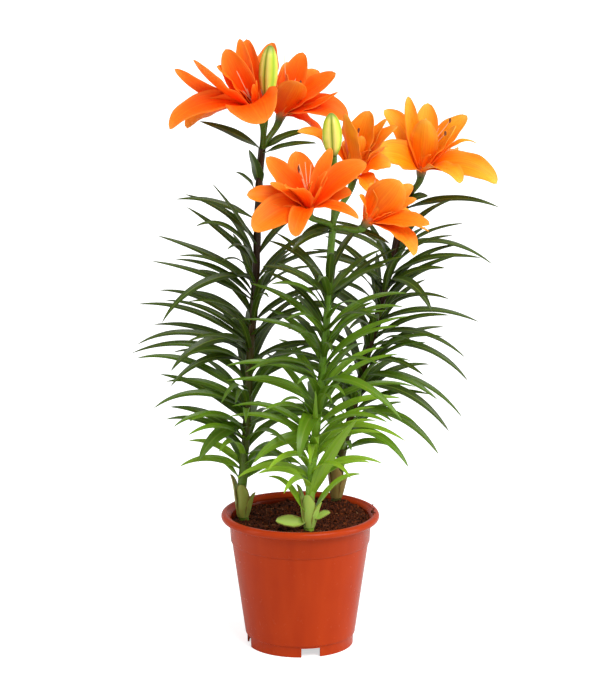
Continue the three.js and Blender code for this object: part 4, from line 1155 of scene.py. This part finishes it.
# Petaloids: stamens that have turned into short ragged petals, crowded in the throat.
petaloid_count = 6
petaloid_length = (26, 40)
petaloid_width = (6, 11)
petaloid_lean = (8, 30)
petaloid_lift = 8
petaloid_curl = (-15, 60)
petaloid_shade = 0.6
petal_tone_spread = 0.16
petal_pieces, cup_pieces, stamen_pieces = {}, {}, {}
for number, (name, blossom) in enumerate(blossoms.items()):
    random = make_random(90 + number)
    parts = []
    for i, blade in enumerate(petals_of(blossom)):
        tone = np.clip(blossom["amber"] + petal_tone_spread * (random() - 0.5), 0, 1)
        parts.append(shaped(petal_blank, petal_place(blade, first_petal_seed + 20 * number + i), tone))
    foot, top, throat = along_facing(blossom, 0, cup_height, petal_root_height / mm)
    axis = unit(top - foot)
    across = unit(np.cross(np.array([0.0, 1.0, 0.0]), axis))
    along = np.cross(axis, across)
    for i in range(petaloid_count):
        turn = math.radians(golden_angle * i + 60 * random())
        lean = math.radians(mix(*petaloid_lean, random()))
        out = across * math.cos(turn) + along * math.sin(turn)
        tip = throat + (axis * math.cos(lean) + out * math.sin(lean)) * mix(*petaloid_length, random()) * mm
        curl = petaloid_curl[0] + petaloid_curl[1] * random()
        width = mix(*petaloid_width, random()) * mm
        place_at = petal_place(
            Blade(throat, tip, axis, petaloid_lift, curl, width, petal_form, 0),
            first_petaloid_seed + 20 * number + i)
        parts.append(shaped(petal_blank, place_at, blossom["amber"] * petaloid_shade))
    petal_pieces[name] = joined(f"{name}_petals", parts, blade_edge, petal_thickness)

    shares, radii = zip(*cup_profile)

    def cup_radius(share, angle, profile=(shares, radii)):
        return np.interp(share, *profile) * mm * (1 + cup_ribs * np.cos(6 * angle))
    cup_skin = tube(straight(foot, top), cup_radius, cup_rows)
    cup_pieces[name] = joined(f"{name}_cup", [shaped(cup_blank, cup_skin)], 70)

    parts = []
    for turn, lean, length, has_anther in stamens[name]:
        turn, lean = math.radians(turn), math.radians(lean)
        out = across * math.cos(turn) + along * math.sin(turn)
        way = axis * math.cos(lean) + out * math.sin(lean)
        start, = along_facing(blossom, stamen_root_height)
        end = start + way * length * mm
        line = bezier([start, start + axis * 0.35 * length * mm, end - way * 0.3 * length * mm, end])
        filament = tube(line, lambda s, a: mix(*filament_radius, s) * mm, filament_rows)
        parts.append(shaped(filament_blank, filament, tone=0.0))
        if has_anther:
            half = unit(along + axis * 0.3) * anther_reach
            pod = bezier([end - half, end - half / 3 + way * mm, end + half / 3 + way * mm, end + half])

            def anther_skin(share, angle):
                return anther_radius * np.sin(np.pi * np.clip(share, 0.06, 0.94)) ** 0.5
            parts.append(shaped(anther_blank, tube(pod, anther_skin, anther_rows), tone=1.0))
    stamen_pieces[name] = joined(f"{name}_stamens", parts, 70)


# Petal skin: velvety, soft and a little see-through, so light glows in it. It is deep red-orange
# in the throat and paler at the tips and edges, partly its own colour and partly a painted
# highlight, with fine darker veins along it.
def petal_material(name, throat_to_tip, amber_throat_to_tip, edge_and_highlight_colour, roughness):
    material = new_material(
        name,
        {"Roughness": roughness, "Specular IOR Level": 0.15, "Subsurface Weight": 0.35,
         "Subsurface Radius": (1.0, 0.5, 0.15), "Subsurface Scale": 1.5 * mm})
    tone = add_node(material, "Attribute", attribute_name="tone")
    shares, outwards, aside = blade_shares(material)
    stops = (0.0, 0.3, 0.65, 0.9, 1.0)
    orange = add_node(material, "ValToRGB", {"Fac": outwards}, stops=list(zip(stops, throat_to_tip)))
    amber = add_node(
        material, "ValToRGB", {"Fac": outwards}, stops=list(zip(stops, amber_throat_to_tip)))
    ground = add_node(material, "Mix", {0: tone, 6: orange, 7: amber}, data_type="RGBA")
    vein_places = add_node(material, "Mapping", {"Vector": shares, "Scale": (22, 1.1, 1)})
    veins = add_node(
        material, "TexNoise", {"Vector": vein_places, "Scale": 1.0, "Detail": 4.0, "Roughness": 0.55})
    vein_shade = add_node(
        material, "ValToRGB", {"Fac": veins}, stops=[(0.32, "#F2C2A6"), (0.62, "#FFFFFF")])
    veined = add_node(
        material, "Mix", {0: 0.7, 6: ground, 7: vein_shade}, data_type="RGBA", blend_type="MULTIPLY")
    # Pale edges: partly the petal's own colour and partly a painted highlight.
    edge = add_node(
        material, "MapRange",
        {"Value": aside, "From Min": 0.3, "From Max": 0.5, "To Min": 0.0, "To Max": 0.45},
        interpolation_type="SMOOTHSTEP")
    edged_and_highlighted = add_node(material, "Mix", {0: edge, 6: veined, 7: linear(edge_and_highlight_colour)}, data_type="RGBA")
    bump = add_node(material, "Bump", {"Height": veins, "Strength": 0.55, "Distance": 0.35 * mm})
    dress(material, Base_Color=edged_and_highlighted, Normal=bump)
    return material


petal_inside = petal_material(
    "Velvet lily petal", ("#F03A00", "#FF4C00", "#FF6206", "#FF7C18", "#FF9638"),
    ("#FA6600", "#FF8A04", "#FFA318", "#FFBA34", "#FFCC58"), "#FF9838", 0.5)
petal_outside = petal_material(
    "Lily petal back", ("#C8641A", "#FF5A06", "#FF7414", "#FF8C28", "#FFA040"),
    ("#BC862A", "#FF9214", "#FFA826", "#FFB83C", "#FFC658"), "#FFA444", 0.58)
# Cup skin: green at the stalk, and brownish where the petals leave it.
cup_green = new_material(
    "Lily flower cup", {"Roughness": 0.5, "Subsurface Weight": 0.1, "Subsurface Scale": 1 * mm})
shares = add_node(cup_green, "UVMap", uv_map="UVMap").outputs[0]
split = add_node(cup_green, "SeparateXYZ", {0: shares})
cup_colour = add_node(
    cup_green, "ValToRGB", {"Fac": split.outputs[1]},
    stops=[(0.0, "#44521A"), (0.25, "#6E5A1C"), (0.5, "#B25A14"), (0.9, "#E0520C")])
places = add_node(cup_green, "TexCoord").outputs["Object"]
cup_grain = add_node(cup_green, "TexNoise", {"Vector": places, "Scale": 1 / (1.5 * mm), "Detail": 3.0})
cup_bump = add_node(cup_green, "Bump", {"Height": cup_grain, "Strength": 0.3, "Distance": 0.2 * mm})
dress(cup_green, Base_Color=cup_colour, Normal=cup_bump)
# Stamens: pale smooth filaments, and anthers dusted with rust-brown pollen.
pollen = new_material(
    "Lily filament and pollen",
    {"Roughness": 0.7, "Subsurface Weight": 0.15, "Subsurface Scale": 0.6 * mm})
stamen_tone = add_node(pollen, "Attribute", attribute_name="tone")
stamen_colour = add_node(
    pollen, "ValToRGB", {"Fac": stamen_tone},
    stops=[(0.0, "#FBC79A"), (0.45, "#E89A5C"), (1.0, "#6A2E10")])
places = add_node(pollen, "TexCoord").outputs["Object"]
dust = add_node(pollen, "TexNoise", {"Vector": places, "Scale": 1 / (0.5 * mm), "Detail": 2.0})
dust_bump = add_node(pollen, "Bump", {"Height": dust, "Strength": 0.4, "Distance": 0.15 * mm})
dress(pollen, Base_Color=stamen_colour, Normal=dust_bump)
for name in blossoms:
    finish_piece(petal_pieces[name], [petal_inside, petal_outside], name)
    finish_piece(cup_pieces[name], [cup_green], name)
    finish_piece(stamen_pieces[name], [pollen], name)

# Buds: two closed buds. Three firm outer petals meet edge to edge in grooves, each with a raised
# rib down its middle, and their tips close in a blunt point.
bud_profile = (
    (0, 0.36), (0.07, 0.56), (0.22, 0.84), (0.42, 1), (0.62, 0.97), (0.8, 0.8), (0.93, 0.52), (1, 0.2))
bud_rows = 44
bud_blank = grid_blank(60, bud_rows)
bud_groove = 0.13
bud_rib = 0.035
bud_pieces = {}
for name, bud in buds.items():
    foot, tip = np.array(bud["base"]) * mm, np.array(bud["tip"]) * mm
    shares, sizes = zip(*bud_profile)
    fine_shares = np.linspace(0, 1, 60)
    fine_sizes = np.interp(fine_shares, shares, sizes)
    for _ in range(3):
        fine_sizes[1:-1] = (fine_sizes[:-2] + 2 * fine_sizes[1:-1] + fine_sizes[2:]) / 4

    def bud_skin(share, angle, radius=bud["radius"] * mm):
        third = np.abs(np.cos(1.5 * angle))
        groove = 1 - bud_groove * third ** 14 * np.sin(np.pi * np.clip(share * 1.02, 0.05, 0.97)) ** 0.4
        rib = bud_rib * (1 - third) ** 4
        return radius * np.interp(share, fine_shares, fine_sizes) * (groove + rib)
    skin_at = tube(straight(foot, tip), bud_skin, bud_rows, math.radians(bud["turn"]))
    bud_pieces[name] = joined(f"{name}_petals", [shaped(bud_blank, skin_at)], 80)

# Bud skin: waxy and cool green-yellow, pale on the flanks, greener along each rib and darkest in
# the grooves and at the foot.
bud_wax = new_material(
    "Waxy lily bud",
    {"Roughness": 0.42, "Subsurface Weight": 0.25, "Subsurface Radius": (0.8, 1.0, 0.3),
     "Subsurface Scale": 2 * mm})
shares = add_node(bud_wax, "UVMap", uv_map="UVMap").outputs[0]
split = add_node(bud_wax, "SeparateXYZ", {0: shares})
thirds = add_node(bud_wax, "Math", {0: split.outputs[0], 1: 3.0}, operation="MULTIPLY")
within = add_node(bud_wax, "Math", {0: thirds}, operation="FRACT")
panel = add_node(
    bud_wax, "ValToRGB", {"Fac": within},
    stops=[(0.0, "#5E7412"), (0.045, "#AEB42C"), (0.16, "#ECDE74"), (0.36, "#D2DA3A"), (0.5, "#9CC01A"),
           (0.64, "#D2DA3A"), (0.84, "#ECDE74"), (0.955, "#AEB42C"), (1.0, "#5E7412")])
foot_share = add_node(
    bud_wax, "ValToRGB", {"Fac": split.outputs[1]}, stops=[(0.02, "#FFFFFF"), (0.2, "#000000")])
footed = add_node(bud_wax, "Mix", {0: foot_share, 6: panel, 7: linear("#3F6A1A")}, data_type="RGBA")
tip_share = add_node(
    bud_wax, "ValToRGB", {"Fac": split.outputs[1]}, stops=[(0.84, "#000000"), (0.97, "#FFFFFF")])
tipped = add_node(bud_wax, "Mix", {0: tip_share, 6: footed, 7: linear("#7E9A30")}, data_type="RGBA")
streak_places = add_node(bud_wax, "Mapping", {"Vector": shares, "Scale": (60, 2, 1)})
streaks = add_node(bud_wax, "TexNoise", {"Vector": streak_places, "Scale": 1.0, "Detail": 3.0})
streak_bump = add_node(bud_wax, "Bump", {"Height": streaks, "Strength": 0.3, "Distance": 0.2 * mm})
dress(bud_wax, Base_Color=tipped, Normal=streak_bump)
for name, piece in bud_pieces.items():
    finish_piece(piece, [bud_wax], name)
for blank in blanks:
    bpy.data.objects.remove(blank)

# Studio: a wide pale floor, soft light from all round, a large soft key from the upper right and
# two tall soft boxes that draw the pale upright lines on the pot.
floor_size = 60
bpy.ops.object.select_all(action="DESELECT")
bpy.ops.mesh.primitive_plane_add(size=floor_size, location=(0, 0, 0))
floor = bpy.context.object
floor.name = "studio_floor"
paper = new_material(
    "White studio paper",
    {"Base Color": linear("#E6E6E6"), "Roughness": 0.9, "Specular IOR Level": 0.1,
     "Emission Color": linear("#FFFFFF")})
seen = add_node(paper, "LightPath").outputs["Is Camera Ray"]
glow = add_node(paper, "Math", {0: seen, 1: 0.62}, operation="MULTIPLY")
dress(paper, Emission_Strength=glow)
floor.data.materials.append(paper)

world = bpy.data.worlds.new("soft_white_room")
bpy.context.scene.world = world
world.use_nodes = True
world.node_tree.nodes["Background"].inputs["Color"].default_value = linear("#FFFFFF")
world.node_tree.nodes["Background"].inputs["Strength"].default_value = 0.55


def aim(lamp, target):
    lamp.rotation_euler = (target - lamp.location).to_track_quat("-Z", "Y").to_euler()


plant_middle = Vector((0, 0, pot_height * 2.4))
bpy.ops.object.light_add(type="SUN", location=(1.2, -1.6, 2.6))
key = bpy.context.object
key.data.energy = 2.4
key.data.angle = math.radians(38)
aim(key, plant_middle)
for x, y, power in ((-0.9, -0.3, 2.2), (1.0, -0.2, 4)):
    bpy.ops.object.light_add(type="AREA", location=(x, y, 0.4))
    box = bpy.context.object
    box.data.shape = "RECTANGLE"
    box.data.size = 0.25
    box.data.size_y = 1.0
    box.data.energy = power
    aim(box, Vector((0, 0, 0.25)))

# Camera: a long lens well back from the plant, tipped down, as the photograph was taken.
camera_place = Vector((-0.26, -3500, 1155)) * mm
camera_tip = 13.21
bpy.ops.object.camera_add(
    location=pot_axis + camera_place, rotation=(math.radians(90 - camera_tip), 0, 0))
camera = bpy.context.object
camera.data.lens = 178.58
camera.data.sensor_width = 36
camera.data.clip_end = 200
bpy.context.scene.camera = camera
bpy.context.scene.view_settings.view_transform = "Standard"
